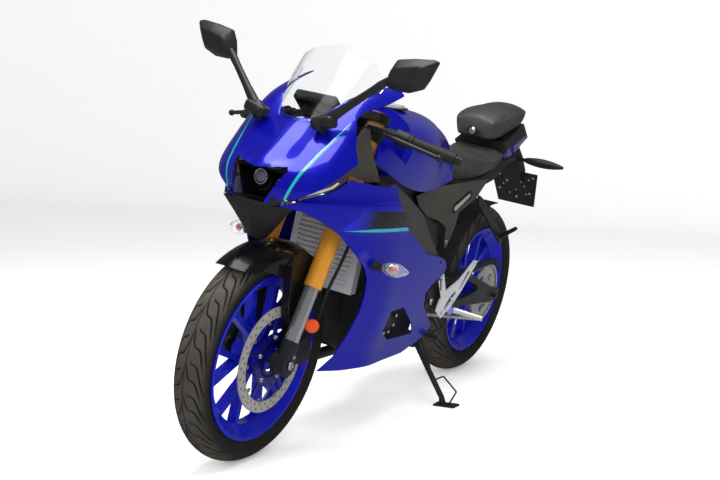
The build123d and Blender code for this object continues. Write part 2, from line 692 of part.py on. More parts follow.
def side_band(level, inset, thickness):
    """One plan-view slice of the side fairing's skin, moved in by an inset."""
    z, nose_x, mid_x, knee_x, rear_x = level
    outer = tuple((x - inset, y) for x, y in ((nose_x, -800), (mid_x, -580), (knee_x, -350), (rear_x, 120)))
    inner = tuple((x - thickness, y) for x, y in outer)
    edge = (
        ThreePointArc(outer[0], outer[1], outer[2])
        + Line(outer[2], outer[3])
        + Line(outer[3], inner[3])
        + Line(inner[3], inner[2])
        + ThreePointArc(inner[2], inner[1], inner[0])
        + Line(inner[0], outer[0])
    )
    return (Plane.XY.offset(z) * make_face(edge)).face()


def side_skin(inset=0.0, thickness=PANEL_T):
    """Left side skin, lofted through its plan-view slices."""
    return loft([side_band(level, inset, thickness) for level in SIDE_LEVELS], ruled=True)


BELLY_WINDOW = ((-296, 413), (-205, 411), (-76, 326), (-70, 300), (-245, 314), (-316, 350))
TAB_HOLE = (27.0, 518.0)
TAB_HOLE_R = 6.0


def side_fairing():
    """Left side panel, trimmed to its outline, with the window over the engine cover and the hole in its tab."""
    panel = side_skin() & side_prism(SIDE_OUTLINE, 0, 400)
    return panel - rounded_side_prism(BELLY_WINDOW, 9, 0, 400) - rod((100, *TAB_HOLE), (300, *TAB_HOLE), TAB_HOLE_R)


# the slit between cowl and side panel that the running lights look through
SLIT_OUTLINE = ((-786, 724), (-772, 790), (-716, 828), (-660, 858), (-634, 850), (-646, 818), (-676, 780), (-738, 738))


FIN_OUTLINE = ((-580, 942), (-530, 936), (-500, 880), (-454, 823), (-425, 790), (-500, 794), (-600, 816), (-640, 838))
BLADE_OUTLINE = ((-400, 783), (-376, 787), (-268, 739), (-165, 686), (-80, 601), (3, 535), (-20, 550), (-126, 569), (-200, 611), (-300, 668), (-380, 728))


def inner_fins():
    """Satin infill panels: one between cowl and tank, one along the side panel's rear edge."""
    fin = largest(side_prism(FIN_OUTLINE, 168, 171) - cowl_skin())
    blade = side_prism(BLADE_OUTLINE, 188, 191)
    return Compound([*both_sides(fin).solids(), *both_sides(blade).solids()])


def inner_panels():
    """Black ducts beside the radiator and the dark backs of the running lights' slits."""
    outline = ((-520, 640), (-462, 560), (-430, 500), (-434, 420), (-448, 348), (-392, 322), (-392, 290), (-330, 300), (-330, 640), (-420, 690))
    duct = side_skin(24, PANEL_T) & side_prism(outline, 0, 400)
    slit = largest((side_skin(13, PANEL_T) & side_prism(SLIT_OUTLINE, 0, 400)) - cowl_skin())
    return Compound([*both_sides(duct).solids(), *both_sides(slit).solids()])


def intake_duct():
    """Black box behind the nose opening that carries the projector lamp."""
    outer = front_prism(((-74, 812), (74, 812), (44, 728), (-44, 728)), -752, -700)
    inner = front_prism(((-68, 806), (68, 806), (40, 734), (-40, 734)), -760, -708)
    return outer - inner


def headlight():
    """Projector lamp with a domed lens in its round housing."""
    barrel = rod((0, -708, 772), (0, -732, 772), 26)
    lens = rod((0, -732, 772), (0, -741, 772), 20, 13)
    return barrel + lens


def chin():
    """Black wedge under the nose, from the cheek tips down to a point above the mudguard."""
    upper = Plane(origin=(0, 0, 722)) * make_face(Polyline((-96, -768), (-44, -778), (44, -778), (96, -768), (92, -700), (-92, -700), close=True))
    lower = Plane(origin=(0, 0, 622)) * make_face(Polyline((-20, -738), (-8, -742), (8, -742), (20, -738), (18, -700), (-18, -700), close=True))
    return loft([upper.face(), lower.face()])


def drl_lamps():
    """Slim light bars set back in the slits between cowl and side panels."""
    outline = ((-770, 742), (-700, 786), (-664, 812), (-660, 822), (-705, 800), (-772, 750))
    return both_sides(side_skin(5, 4) & side_prism(outline, 0, 400))


# windscreen, low to high: z, half width, y at the middle, y at the ends
SCREEN_LEVELS = (
    (930, 78, -640, -610),
    (985, 118, -592, -510),
    (1040, 140, -545, -420),
    (1095, 136, -498, -392),
    (1140, 124, -459, -370),
)


def windscreen():
    """Curved clear screen: a thin loft through plan-view arcs, trimmed to its rounded top."""

    def slice_at(row):
        z, half, y_mid, y_end = row
        t = SCREEN_T
        edge = (
            ThreePointArc((-half, y_end), (0, y_mid), (half, y_end))
            + Line((half, y_end), (half - t, y_end))
            + ThreePointArc((half - t, y_end), (0, y_mid + t), (-half + t, y_end))
            + Line((-half + t, y_end), (-half, y_end))
        )
        return (Plane.XY.offset(z) * make_face(edge)).face()

    skin = loft([slice_at(row) for row in SCREEN_LEVELS], ruled=True)
    skin -= [cowl_block(), mirror(cowl_block(), about=Plane.YZ)]
    front = Plane(origin=(0, -700, 0), x_dir=(1, 0, 0), z_dir=(0, -1, 0)) * make_face(
        ThreePointArc((-116, 1096), (0, 1135), (116, 1096))
        + Polyline((116, 1096), (150, 1030), (124, 980), (60, 944), (0, 942), (-60, 944), (-124, 980), (-150, 1030), (-116, 1096))
    )
    trim = extrude(front, 400, dir=(0, 1, 0))
    side = side_prism(((-700, 930), (-600, 930), (-370, 1030), (-445, 1100), (-445, 1150), (-700, 1150)), -200, 200)
    return skin & trim & side


DASH_SIZE = (130.0, 84.0, 30.0)
DASH_PLACE = Pos(0, -517, 968) * Rot(X=-38)


def dash():
    """Instrument pod behind the screen."""
    body = DASH_PLACE * Box(*DASH_SIZE)
    return fillet(body.edges(), 8)


def cowl_stay():
    """Bracket from the steering head out to the duct, the mirrors and the instruments."""
    beam = side_prism(((-440, 812), (-600, 800), (-700, 760), (-700, 800), (-610, 850), (-452, 866)), -22, 22)
    beam -= rod((0, steer_y(700), 700), (0, steer_y(960), 960), HEAD_TUBE_R)
    post = rod((0, -540, 840), (0, -512, 946), 14)
    arm = rod((0, -610, 822), (104, -640, 918), 10)
    dash_room = DASH_PLACE * Box(*DASH_SIZE)
    arms = both_sides(arm - cowl_skin())
    return beam + (post - dash_room) + arms.solids()


MIRROR_BASE = (105.0, -663.0, 930.0)
MIRROR_NECK = (240.0, -616.0, 1072.0)


def mirrors():
    """Long stalks on knuckle bases with faceted heads."""
    knuckle = Pos(105, -655, 940) * (Rot(Y=14) * Box(70, 44, 34))
    knuckle = fillet(knuckle.edges(), 10)
    stalk = rod((112, -660, 950), MIRROR_NECK, 13, 10)
    rear = make_face(Polyline((236, 1058), (256, 1126), (354, 1142), (372, 1137), (350, 1086), (300, 1052), close=True))
    front = make_face(Polyline((250, 1074), (266, 1106), (330, 1120), (342, 1116), (328, 1094), (292, 1070), close=True))
    plane_rear = Plane(origin=(0, -588, 0), x_dir=(1, 0, 0), z_dir=(0, -1, 0))
    plane_front = Plane(origin=(0, -636, 0), x_dir=(1, 0, 0), z_dir=(0, -1, 0))
    head = loft([(plane_rear * rear).face(), (plane_front * front).face()], ruled=True)
    return both_sides(knuckle + stalk + head)


# tank, front to rear: y, top z, shoulder (x, z), widest (x, z), lower edge (x, z)
TANK_SECTIONS = (
    (-430, 936, (92, 918), (150, 868), (146, 836)),
    (-340, 968, (104, 944), (168, 872), (158, 800)),
    (-220, 977, (104, 950), (170, 862), (150, 762)),
    (-80, 969, (96, 944), (158, 858), (136, 738)),
    (40, 956, (78, 930), (124, 850), (122, 738)),
    (140, 924, (58, 900), (94, 846), (112, 752)),
    (205, 884, (44, 862), (78, 820), (98, 758)),
)


def tank_section(row):
    y, top, (sx, sz), (wx, wz), (bx, bz) = row
    mid = ((sx + wx) / 2 + (sz - wz) * 0.16, (sz + wz) / 2 + (wx - sx) * 0.16)
    low = ((wx + bx) / 2 + 2, (wz + bz) / 2)
    half = (
        ThreePointArc((0, top), (sx * 0.55, top - (top - sz) * 0.28), (sx, sz))
        + ThreePointArc((sx, sz), mid, (wx, wz))
        + ThreePointArc((wx, wz), low, (bx, bz))
        + Polyline((bx, bz), (0, bz), (0, top))
    )
    return (Plane(origin=(0, y, 0), x_dir=(1, 0, 0), z_dir=(0, -1, 0)) * make_face(half)).face()


# half outlines of the room that the turning steering needs, across the steering axis: x, distance behind the axis
BAR_SWEEP = ((0, -150), (380, -150), (380, 60), (330, 190), (206, 100), (152, 62), (100, 80), (0, 80))
LEG_SWEEP = ((0, -150), (146, -150), (146, 40), (110, 52), (0, 52))
SWEEP_SPLIT_Z = 862.0


def steering_room():
    """Space that the bars, yokes and legs pass through between the two steering stops."""
    plane = Plane(origin=(0, steer_y(SWEEP_SPLIT_Z), SWEEP_SPLIT_Z), x_dir=(1, 0, 0), z_dir=STEER_DIR)
    room = []
    for outline, up in ((BAR_SWEEP, 300), (LEG_SWEEP, -200)):
        whole = [*outline, *[(-x, y) for x, y in reversed(outline) if x]]
        room.append(extrude(plane * make_face(Polyline(*whole, close=True)), up, dir=STEER_DIR))
    return room


CAP_CENTRE = (0.0, -150.0)
CAP_R = 56.0
CAP_T = 7.0
CAP_TOP_Z = 982.0


def tank():
    """Fuel tank with knee hollows, notched for the fork and recessed for the filler cap."""
    half = loft([tank_section(row) for row in TANK_SECTIONS])
    solid = half + mirror(half, about=Plane.YZ)
    cap_seat = Pos(*CAP_CENTRE, CAP_TOP_Z - CAP_T - SEAT_GAP - 4 + 30) * Cylinder(CAP_R + 14, 60)
    spar_room = side_prism([(-480, 884), (-300, 856), (-240, 824), (-60, 752), (96, 716), (260, 690), (260, 600), (-480, 600)], -112, 112)
    return solid - cap_seat - spar_room - steering_room() - frame_spars()


CAP_HINGE = (CAP_CENTRE[1] - CAP_R - 5, CAP_TOP_Z - 3)
HINGE_PIN_R = 2.5
SEAT_GAP = 0.3


def filler_ring():
    """Ring that seats the cap, with the two lugs and the pin of its hinge."""
    x, y = CAP_CENTRE
    seat_z = CAP_TOP_Z - CAP_T - SEAT_GAP
    ring = Pos(x, y, seat_z - 2) * (Cylinder(CAP_R + 12, 4) - Cylinder(CAP_R - 14, 4))
    ring -= Pos(0, CAP_HINGE[0] - 2, CAP_HINGE[1]) * Box(17.4, 16, 20)
    pin = rod((-15, *CAP_HINGE), (15, *CAP_HINGE), HINGE_PIN_R)
    lugs = [Pos(lx, CAP_HINGE[0], (CAP_HINGE[1] + seat_z) / 2 - 1) * Box(7, 8, CAP_HINGE[1] - seat_z + 6) for lx in (-13, 13)]
    return ring + lugs + pin


def fuel_cap():
    """Hinged filler cap with the knuckle that turns on the ring's pin."""
    x, y = CAP_CENTRE
    lid = Pos(x, y, CAP_TOP_Z - CAP_T / 2) * Cylinder(CAP_R, CAP_T)
    knuckle = rod((-8, *CAP_HINGE), (8, *CAP_HINGE), 5) + Pos(0, CAP_HINGE[0] + 5, CAP_HINGE[1]) * Box(16, 10, 5)
    return lid + knuckle - rod((-12, *CAP_HINGE), (12, *CAP_HINGE), HINGE_PIN_R + AXLE_PLAY)


def rider_seat():
    """Rider's seat cushion: narrow at the tank, wide and dished behind."""
    # front to rear: y, top z, half width, shoulder z, lower z
    rows = ((150, 868, 72, 846, 752), (240, 862, 96, 838, 742), (340, 842, 112, 822, 746), (440, 830, 118, 812, 760), (530, 834, 116, 818, 784), (590, 856, 104, 842, 812))

    def section(row):
        y, top, half, shoulder, low = row
        edge = ThreePointArc((-half, shoulder), (0, top), (half, shoulder)) + Polyline((half, shoulder), (half - 6, low), (-half + 6, low), (-half, shoulder))
        return (Plane(origin=(0, y, 0), x_dir=(1, 0, 0), z_dir=(0, -1, 0)) * make_face(edge)).face()

    return loft([section(row) for row in rows]) - tank()


def pillion_seat():
    """Passenger pad with a blunt front face."""
    rows = ((508, 944, 74, 930, 872), (560, 968, 92, 948, 876), (660, 985, 96, 962, 896), (760, 996, 88, 974, 922), (812, 996, 70, 980, 940))

    def section(row):
        y, top, half, shoulder, low = row
        edge = ThreePointArc((-half, shoulder), (0, top), (half, shoulder)) + Polyline((half, shoulder), (half - 14, low), (-half + 14, low), (-half, shoulder))
        return (Plane(origin=(0, y, 0), x_dir=(1, 0, 0), z_dir=(0, -1, 0)) * make_face(edge)).face()

    return loft([section(row) for row in rows]) - tail_cowl()


def tail_cowl():
    """Tail bodywork between the seats and the rear lamp."""
    rows = ((600, 868, 104, 846, 800), (700, 900, 100, 872, 812), (800, 930, 84, 890, 826), (880, 912, 62, 880, 838))

    def section(row):
        y, top, half, shoulder, low = row
        edge = Polyline((-half + 20, top), (half - 20, top), (half, shoulder), (half - 26, low), (-half + 26, low), (-half, shoulder), (-half + 20, top))
        return (Plane(origin=(0, y, 0), x_dir=(1, 0, 0), z_dir=(0, -1, 0)) * make_face(edge)).face()

    return loft([section(row) for row in rows])


def tail_light():
    body = loft(
        [
            (Plane(origin=(0, 880, 874), x_dir=(1, 0, 0), z_dir=(0, 1, 0)) * RectangleRounded(100, 38, 8)).face(),
            (Plane(origin=(0, 906, 868), x_dir=(1, 0, 0), z_dir=(0, 1, 0)) * RectangleRounded(76, 24, 6)).face(),
        ]
    )
    return body


def plate_hanger():
    """Rear carrier under the tail: an arm down and back to the blank number plate's backing."""
    arm = side_prism(((800, 826), (880, 836), (930, 800), (985, 745), (975, 700), (940, 720), (900, 780), (840, 800)), -38, 38)
    y_top, y_low = 962.0, 1048.0
    backing = loft(
        [
            (Plane(origin=(0, y_top, 740), z_dir=(0, 0, 1)) * Rectangle(196, 6)).face(),
            (Plane(origin=(0, y_low, 604), z_dir=(0, 0, 1)) * Rectangle(150, 6)).face(),
        ],
        ruled=True,
    )
    return arm + backing


def turn_signal(base, tip, radius):
    """Teardrop lamp on a short stalk."""
    start, end = Vector(*base), Vector(*tip)
    way = (end - start).normalized()
    return rod(base, start + way * 26, 7) + loft(
        [
            (Plane(origin=start + way * 24, z_dir=way) * Circle(radius * 0.55)).face(),
            (Plane(origin=start + way * ((end - start).length * 0.5), z_dir=way) * Circle(radius)).face(),
            (Plane(origin=end, z_dir=way) * Circle(radius * 0.3)).face(),
        ]
    )


def front_signals():
    stalk = rod((200, -446, 566), (238, -440, 566), 10, 7)
    lamp = Pos(262, -428, 566) * (Rot(Z=14) * scale(Sphere(20), by=(1.25, 2.0, 0.95)))
    return both_sides(stalk + lamp - side_skin(0, 60))


def rear_signals():
    return both_sides(turn_signal((38, 905, 792), (212, 905, 792), 17))


SIDE_COVER_OUTLINE = (
    (-88, 722), (20, 742), (136, 746), (300, 750), (436, 752), (422, 737), (361, 689), (244, 650),
    (229, 600), (187, 531), (169, 549), (164, 605), (91, 634), (9, 652), (-60, 690),
)


def side_covers():
    """Satin panels under the seat that hide the subframe."""
    return both_sides(side_prism(SIDE_COVER_OUTLINE, 118, 121) - tank())


def footrests():
    """Rider's foot plates with pegs, on both sides."""
    outline = ((150, 332), (196, 300), (262, 330), (330, 380), (424, 470), (396, 476), (300, 420), (200, 392), (156, 466), (126, 466), (126, 438), (170, 372))
    plate = side_prism(outline, *FOOT_PLATE_X)
    peg = rod((140, 300, 312), (238, 318, 306), 10, 9)
    return both_sides(plate + peg)


def pedals():
    """Shift lever on the left, brake pedal on the right."""
    shift = bent_rod([(150, 205, 268), (152, 150, 262), (152, 95, 262)], 5, 20) + rod((146, 100, 262), (190, 100, 262), 9)
    brake = mirror(shift, about=Plane.YZ)
    return Compound([*shift.solids(), *brake.solids()])


def passenger_footrests():
    arm = side_prism(((372, 700), (398, 690), (640, 540), (650, 512), (626, 512), (372, 672)), 121, 129)
    peg = rod((120, 634, 530), (204, 560, 588), 9, 7)
    return both_sides(arm + peg)


# ================================================================ side stand and lean
def parked(shape):
    """The upright bike's coordinates leaned onto the side stand, tyres and foot on the floor."""
    return Pos(0, 0, REAR_CROWN_R * (1 - cos(radians(LEAN)))) * (Rot(Y=LEAN) * shape)


def upright(x, y, z):
    """A point of the parked bike, back in the upright bike's coordinates."""
    z -= REAR_CROWN_R * (1 - cos(radians(LEAN)))
    c, s = cos(radians(LEAN)), sin(radians(LEAN))
    return (x * c - z * s, y, x * s + z * c)


STAND_PIVOT = (88.0, 150.0, 214.0)
STAND_FOOT = (238.0, 128.0)     # x, y of the foot on the floor, parked
STAND_STOWED = (0.16, 0.98, 0.08)   # way the folded leg points, upright
STAND_R = 11.0
STAND_HUB_R = 16.0
STAND_HUB_T = 18.0
STAND_BOLT_R = 6.0
STAND_BOLT_PLAY = 0.05
STAND_SIDE_GAP = 1.2            # between the hub and each cheek of the bracket
CHEEK_T = 8.0
FOOT_T = 6.0
BRACKET_WAY = (-26.0, -80.0, 48.0)  # from the pivot to the middle of the bracket's root


def stand_plane():
    """Plane in which the stand swings, its x axis pointing to the bracket's root."""
    down = Vector(*upright(*STAND_FOOT, 0)) - Vector(*STAND_PIVOT)
    axis = down.cross(Vector(*STAND_STOWED)).normalized()
    way = Vector(*BRACKET_WAY)
    return Plane(origin=STAND_PIVOT, x_dir=way - axis * way.dot(axis), z_dir=axis)


def stand_bolt_room(radius, half):
    """Round bar along the stand's pivot axis."""
    return extrude(stand_plane().offset(-half) * Circle(radius), 2 * half)


def side_stand():
    """Leg from the hub on the pivot bolt to the foot plate that lies flat on the floor."""
    foot = upright(*STAND_FOOT, FOOT_T / 2)
    knee = upright(STAND_FOOT[0] - 6, STAND_FOOT[1] + 2, 26)
    leg = rod(STAND_PIVOT, knee, STAND_HUB_T / 2, STAND_R - 2)
    shoe = upright(STAND_FOOT[0] + 12, STAND_FOOT[1], FOOT_T / 2)
    pad = Pos(*shoe) * (Rot(Y=-LEAN) * Box(74, 44, FOOT_T))
    neck = rod(knee, foot, STAND_R - 2, STAND_R)
    floor = Pos(*upright(STAND_FOOT[0], STAND_FOOT[1], -50)) * (Rot(Y=-LEAN) * Box(400, 400, 100))
    hub = stand_bolt_room(STAND_HUB_R, STAND_HUB_T / 2)
    solid = leg + pad + neck + Pos(*knee) * Sphere(STAND_R - 2) + hub
    return solid - floor - stand_bolt_room(STAND_BOLT_R + STAND_BOLT_PLAY, STAND_HUB_T)


def stand_bracket():
    """Forked lug on the engine's underside that holds the side stand's hub on its bolt."""
    plane = stand_plane()
    inner = STAND_HUB_T / 2 + STAND_SIDE_GAP
    cheek = make_face(Polyline((-12, 10), (-6, 14), (40, 20), (110, 26), (110, -26), (40, -20), (-6, -14), (-12, -10), close=True))
    cheeks = [
        extrude(plane.offset(inner) * cheek, CHEEK_T),
        extrude(plane.offset(-inner - CHEEK_T) * cheek, CHEEK_T),
    ]
    root = extrude(plane.offset(-inner - CHEEK_T) * (Pos(70, 0) * Rectangle(80, 40)), 2 * (inner + CHEEK_T))
    bolt = stand_bolt_room(STAND_BOLT_R, inner + CHEEK_T + 4)
    return root + cheeks + bolt - engine()


# ================================================================ all sub-parts
NODES = {
    "front_tyre": lambda: tyre(FRONT_TYRE_R, FRONT_TYRE_W, FRONT_CROWN_R, FRONT_RIM_W, FRONT_AXLE),
    "front_rim": lambda: rim(FRONT_RIM_W, FRONT_HUB_HALF, FRONT_AXLE_R, 26, FRONT_AXLE),
    "front_disc": lambda: brake_disc(FRONT_DISC_R, FRONT_DISC_BAND, FRONT_DISC_X, FRONT_AXLE, 74, 5),
    "rear_tyre": lambda: tyre(REAR_TYRE_R, REAR_TYRE_W, REAR_CROWN_R, REAR_RIM_W, REAR_AXLE),
    "rear_rim": lambda: rim(REAR_RIM_W, REAR_HUB_HALF, REAR_AXLE_R, 30, REAR_AXLE),
    "rear_disc": lambda: brake_disc(REAR_DISC_R, 28, REAR_DISC_X, REAR_AXLE, 56, 5),
    "rear_sprocket": lambda: chain_wheel(REAR_SPROCKET_R, HUB_R, REAR_AXLE, CHAIN_X, 5),
    "yokes": yokes,
    "fork_outer_tubes": lambda: Compound(fork_legs(FORK_OUTER_R, FORK_INNER_R + FORK_BORE_PLAY, FORK_OUTER_END_Z, FORK_TOP_Z)),
    "fork_inner_tubes": lambda: Compound(fork_legs(FORK_INNER_R, FORK_INNER_R - 3, FORK_INNER_END_Z, 600)),
    "fork_bottoms": fork_bottoms,
    "front_fender": front_fender,
    "front_caliper": front_caliper,
    "handlebars": handlebars,
    "grips": grips,
    "controls": controls,
    "levers": levers,
    "brake_hose": brake_hose,
    "frame": frame_spars,
    "subframe": subframe,
    "engine": engine,
    "radiator": radiator,
    "swingarm": swingarm,
    "shock": shock,
    "chain": chain,
    "chain_guard": chain_guard,
    "hugger": hugger,
    "exhaust": exhaust,
    "nose_cowl": nose_cowl,
    "side_fairings": lambda: both_sides(side_fairing()),
    "inner_fins": inner_fins,
    "inner_panels": inner_panels,
    "intake_duct": intake_duct,
    "headlight": headlight,
    "chin": chin,
    "drl_lamps": drl_lamps,
    "windscreen": windscreen,
    "dash": dash,
    "cowl_stay": cowl_stay,
    "mirrors": mirrors,
    "tank": tank,
    "filler_ring": filler_ring,
    "fuel_cap": fuel_cap,
    "rider_seat": rider_seat,
    "pillion_seat": pillion_seat,
    "tail_cowl": tail_cowl,
    "tail_light": tail_light,
    "plate_hanger": plate_hanger,
    "front_signals": front_signals,
    "rear_signals": rear_signals,
    "side_covers": side_covers,
    "footrests": footrests,
    "pedals": pedals,
    "passenger_footrests": passenger_footrests,
    "stand_bracket": stand_bracket,
    "side_stand": side_stand,
}

solids = {node: parked(make()) for node, make in NODES.items()}
reach = Compound([copy for shape in solids.values() for copy in shape.solids()]).bounding_box()
centred = Pos(-reach.center().X, -reach.center().Y, -reach.min.Z)

os.makedirs("parts", exist_ok=True)
for node, shape in solids.items():
    export_step(centred * shape, f"parts/{node}.step")
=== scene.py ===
# %% [markdown]
# # A faired sport bike on its side stand
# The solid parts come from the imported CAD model, and this file dresses them. It starts by loading
# that model as a fixed frame. Every later piece is made in metres in the same frame, so nothing
# has to be fitted by eye. The CAD box is kept, so that the finished model can be measured against it.

# %% Load the frame
import json
from math import asin, atan2, copysign, cos, hypot, pi, radians, sin

import bmesh
import bpy
from mathutils import Matrix, Vector


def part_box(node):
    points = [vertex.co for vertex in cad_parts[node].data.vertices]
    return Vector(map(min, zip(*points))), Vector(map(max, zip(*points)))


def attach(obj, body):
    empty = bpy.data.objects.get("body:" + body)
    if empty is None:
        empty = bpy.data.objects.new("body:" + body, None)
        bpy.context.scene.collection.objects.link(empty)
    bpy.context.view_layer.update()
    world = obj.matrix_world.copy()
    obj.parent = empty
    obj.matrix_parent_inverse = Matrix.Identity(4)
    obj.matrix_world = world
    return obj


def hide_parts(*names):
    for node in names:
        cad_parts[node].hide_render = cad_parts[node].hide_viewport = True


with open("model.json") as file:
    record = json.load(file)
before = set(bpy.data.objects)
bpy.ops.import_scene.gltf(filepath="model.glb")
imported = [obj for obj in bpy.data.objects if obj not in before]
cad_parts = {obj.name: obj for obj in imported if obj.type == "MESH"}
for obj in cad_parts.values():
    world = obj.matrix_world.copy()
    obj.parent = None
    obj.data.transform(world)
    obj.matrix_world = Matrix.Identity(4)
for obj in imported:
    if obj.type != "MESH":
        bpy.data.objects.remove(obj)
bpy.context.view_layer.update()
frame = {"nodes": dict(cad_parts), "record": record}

# %% [markdown]
# ## The bike's own axes
# The parked bike leans on its stand, which makes every symmetric piece awkward to place. So pieces
# are made on an upright bike whose middle plane is x = 0, and one matrix leans them into place.
# Its inverse stands a parked piece upright again. The shift is read from the front tyre's box, so
# it follows the CAD model. The left side of the bike is at positive x.

# %% The lean as one matrix
MM = 0.001
LEAN = radians(10.44)
LEFT, RIGHT = (1, 0, 0), (-1, 0, 0)
FRONT_AXLE = Vector((0, -0.6625, 0.296))
REAR_AXLE = Vector((0, 0.6625, 0.314))


def middle(node):
    """Centre of a CAD node's box."""
    low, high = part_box(node)
    return (low + high) / 2


lean_turn = Matrix.Rotation(LEAN, 4, "Y")
leaned_axle = lean_turn @ FRONT_AXLE
shift = middle("front_tyre") - leaned_axle
PARK = Matrix.Translation(shift) @ lean_turn
UPRIGHT = PARK.inverted()
print("parked shift, mm:", [round(v / MM, 1) for v in shift])

# %% [markdown]
# ## Camera
# A long lens looks from ahead and from the rider's left. It could be aimed with a Track To
# constraint. A point and a viewing direction are simpler here, and a track quaternion turns them
# into the camera's rotation.

# %% Camera
CAMERA_AT = shift + Vector((1.78287, -3.097, 0.90201))
CAMERA_YAW = radians(-29.89)
CAMERA_PITCH = radians(-5.86)
camera = bpy.data.objects.new("camera", bpy.data.cameras.new("camera"))
bpy.context.scene.collection.objects.link(camera)
camera.data.sensor_width = 36
camera.data.lens = 56.26
camera.location = CAMERA_AT
view_way = Vector((
    sin(CAMERA_YAW) * cos(CAMERA_PITCH),
    cos(CAMERA_YAW) * cos(CAMERA_PITCH),
    sin(CAMERA_PITCH),
))
camera.rotation_euler = view_way.to_track_quat("-Z", "Y").to_euler()
bpy.context.scene.camera = camera
print("camera at", [round(v, 2) for v in CAMERA_AT], "looking along", [round(v, 2) for v in view_way])

# %% [markdown]
# ## Floor and backdrop
# The bike stands on a pale floor that rises behind it into a backdrop, with a round bend so that no
# corner shows. The sheet is one line of points drawn out sideways. Its colour follows further on,
# with the other finishes.

# %% Floor and backdrop
BACKDROP_FROM, BEND_RADIUS, BEND_STEPS = 6, 3, 10


def swept_sheet(name, points, width=24):
    """Sheet drawn out sideways from a line of (distance, height) points."""
    bm = bmesh.new()
    verts = [bm.verts.new((-width / 2, y, z)) for y, z in points]
    edges = [bm.edges.new(pair) for pair in zip(verts, verts[1:])]
    made = bmesh.ops.extrude_edge_only(bm, edges=edges)["geom"]
    moved = [v for v in made if isinstance(v, bmesh.types.BMVert)]
    bmesh.ops.translate(bm, verts=moved, vec=(width, 0, 0))
    mesh = bpy.data.meshes.new(name)
    bm.to_mesh(mesh)
    bm.free()
    mesh.shade_smooth()
    sheet = bpy.data.objects.new(name, mesh)
    bpy.context.scene.collection.objects.link(sheet)
    return sheet


turns = [radians(90 * k / BEND_STEPS) for k in range(BEND_STEPS + 1)]
bend = [(BACKDROP_FROM + BEND_RADIUS * sin(a), BEND_RADIUS - BEND_RADIUS * cos(a)) for a in turns]
floor = swept_sheet("floor", [(-9, 0), (2, 0), *bend, (BACKDROP_FROM + BEND_RADIUS, 9)])

floor_paint = bpy.data.materials.new("floor_paint")
floor_paint.use_nodes = True
floor_shader = floor_paint.node_tree.nodes["Principled BSDF"]
floor_shader.inputs["Roughness"].default_value = 0.42
floor_shader.inputs["Emission Color"].default_value = (1, 1, 1, 1)
floor.data.materials.append(floor_paint)
print("floor:", len(floor.data.polygons), "faces")

# %% [markdown]
# ## Sky
# A white sky gives soft light from all round. Dark paint would mirror it and turn milky, so a Light
# Path node dims it for glossy rays alone.

# %% Sky
SKY_LIGHT, SKY_IN_GLOSS = 0.8, 0.1
world = bpy.data.worlds.new("studio")
world.use_nodes = True
sky = world.node_tree
paths = sky.nodes.new("ShaderNodeLightPath")
dimmed = sky.nodes.new("ShaderNodeMapRange")
dimmed.inputs["To Min"].default_value = SKY_LIGHT
dimmed.inputs["To Max"].default_value = SKY_IN_GLOSS
sky.links.new(paths.outputs["Is Glossy Ray"], dimmed.inputs["Value"])
sky.links.new(dimmed.outputs[0], sky.nodes["Background"].inputs["Strength"])
sky.nodes["Background"].inputs["Color"].default_value = (1, 1, 1, 1)
bpy.context.scene.world = world
bpy.context.scene.view_settings.view_transform = "Standard"
print("sky strength:", SKY_LIGHT, "and in reflections", SKY_IN_GLOSS)

# %% [markdown]
# ## Soft boxes
# Three large area lights stand for soft boxes. The top one is mirrored in the paint and draws its
# long highlights. The front and right ones only light the bike, with their glossy rays switched
# off, so that the black parts keep their depth.

# %% Soft boxes


def softbox(name, place, aim, size, watts, mirrored=True):
    """Area light; one that isn't mirrored lights the bike but shows in no reflection."""
    lamp = bpy.data.lights.new(name, "AREA")
    lamp.shape = "RECTANGLE"
    lamp.size, lamp.size_y = size
    lamp.energy = watts
    box = bpy.data.objects.new(name, lamp)
    box.location = place
    box.rotation_euler = (Vector(aim) - Vector(place)).to_track_quat("-Z", "Y").to_euler()
    box.visible_glossy = mirrored
    bpy.context.scene.collection.objects.link(box)
    print(name, watts, "W, mirrored:", mirrored)


softbox("top_light", (0.4, -0.6, 3.4), (0, 0, 0.4), (2.0, 3.2), 130)
softbox("front_light", (2.8, -3.4, 2.3), (0, -0.2, 0.6), (1.4, 2.2), 95, mirrored=False)
softbox("right_light", (-3.4, -1.6, 2.0), (0, -0.2, 0.6), (1.4, 2.6), 60, mirrored=False)

# %% [markdown]
# ## Shared surface effects
# Real surfaces are never quite even. Three small node groups give that unevenness, and each
# material places them with its own values: a slow variation, a fine grain, and settled dust.

# %% Node group helpers


def new_group(name, inputs, outputs):
    """Empty shader node group with named sockets."""
    group = bpy.data.node_groups.new(name, "ShaderNodeTree")
    for label, kind, value in inputs:
        socket = group.interface.new_socket(label, in_out="INPUT", socket_type=kind)
        if value is not None:
            socket.default_value = value
    for label, kind in outputs:
        group.interface.new_socket(label, in_out="OUTPUT", socket_type=kind)
    return group, group.nodes.new("NodeGroupInput"), group.nodes.new("NodeGroupOutput")


def math_node(tree, operation, *values, clamp=False):
    """Math node whose inputs are numbers or sockets; gives back its output socket."""
    node = tree.nodes.new("ShaderNodeMath")
    node.operation = operation
    node.use_clamp = clamp
    for socket, value in zip(node.inputs, values):
        if isinstance(value, (int, float)):
            socket.default_value = value
        else:
            tree.links.new(value, socket)
    return node.outputs[0]


def object_point(tree):
    """Socket with the place on the piece in object coordinates."""
    return tree.nodes.new("ShaderNodeTexCoord").outputs["Object"]


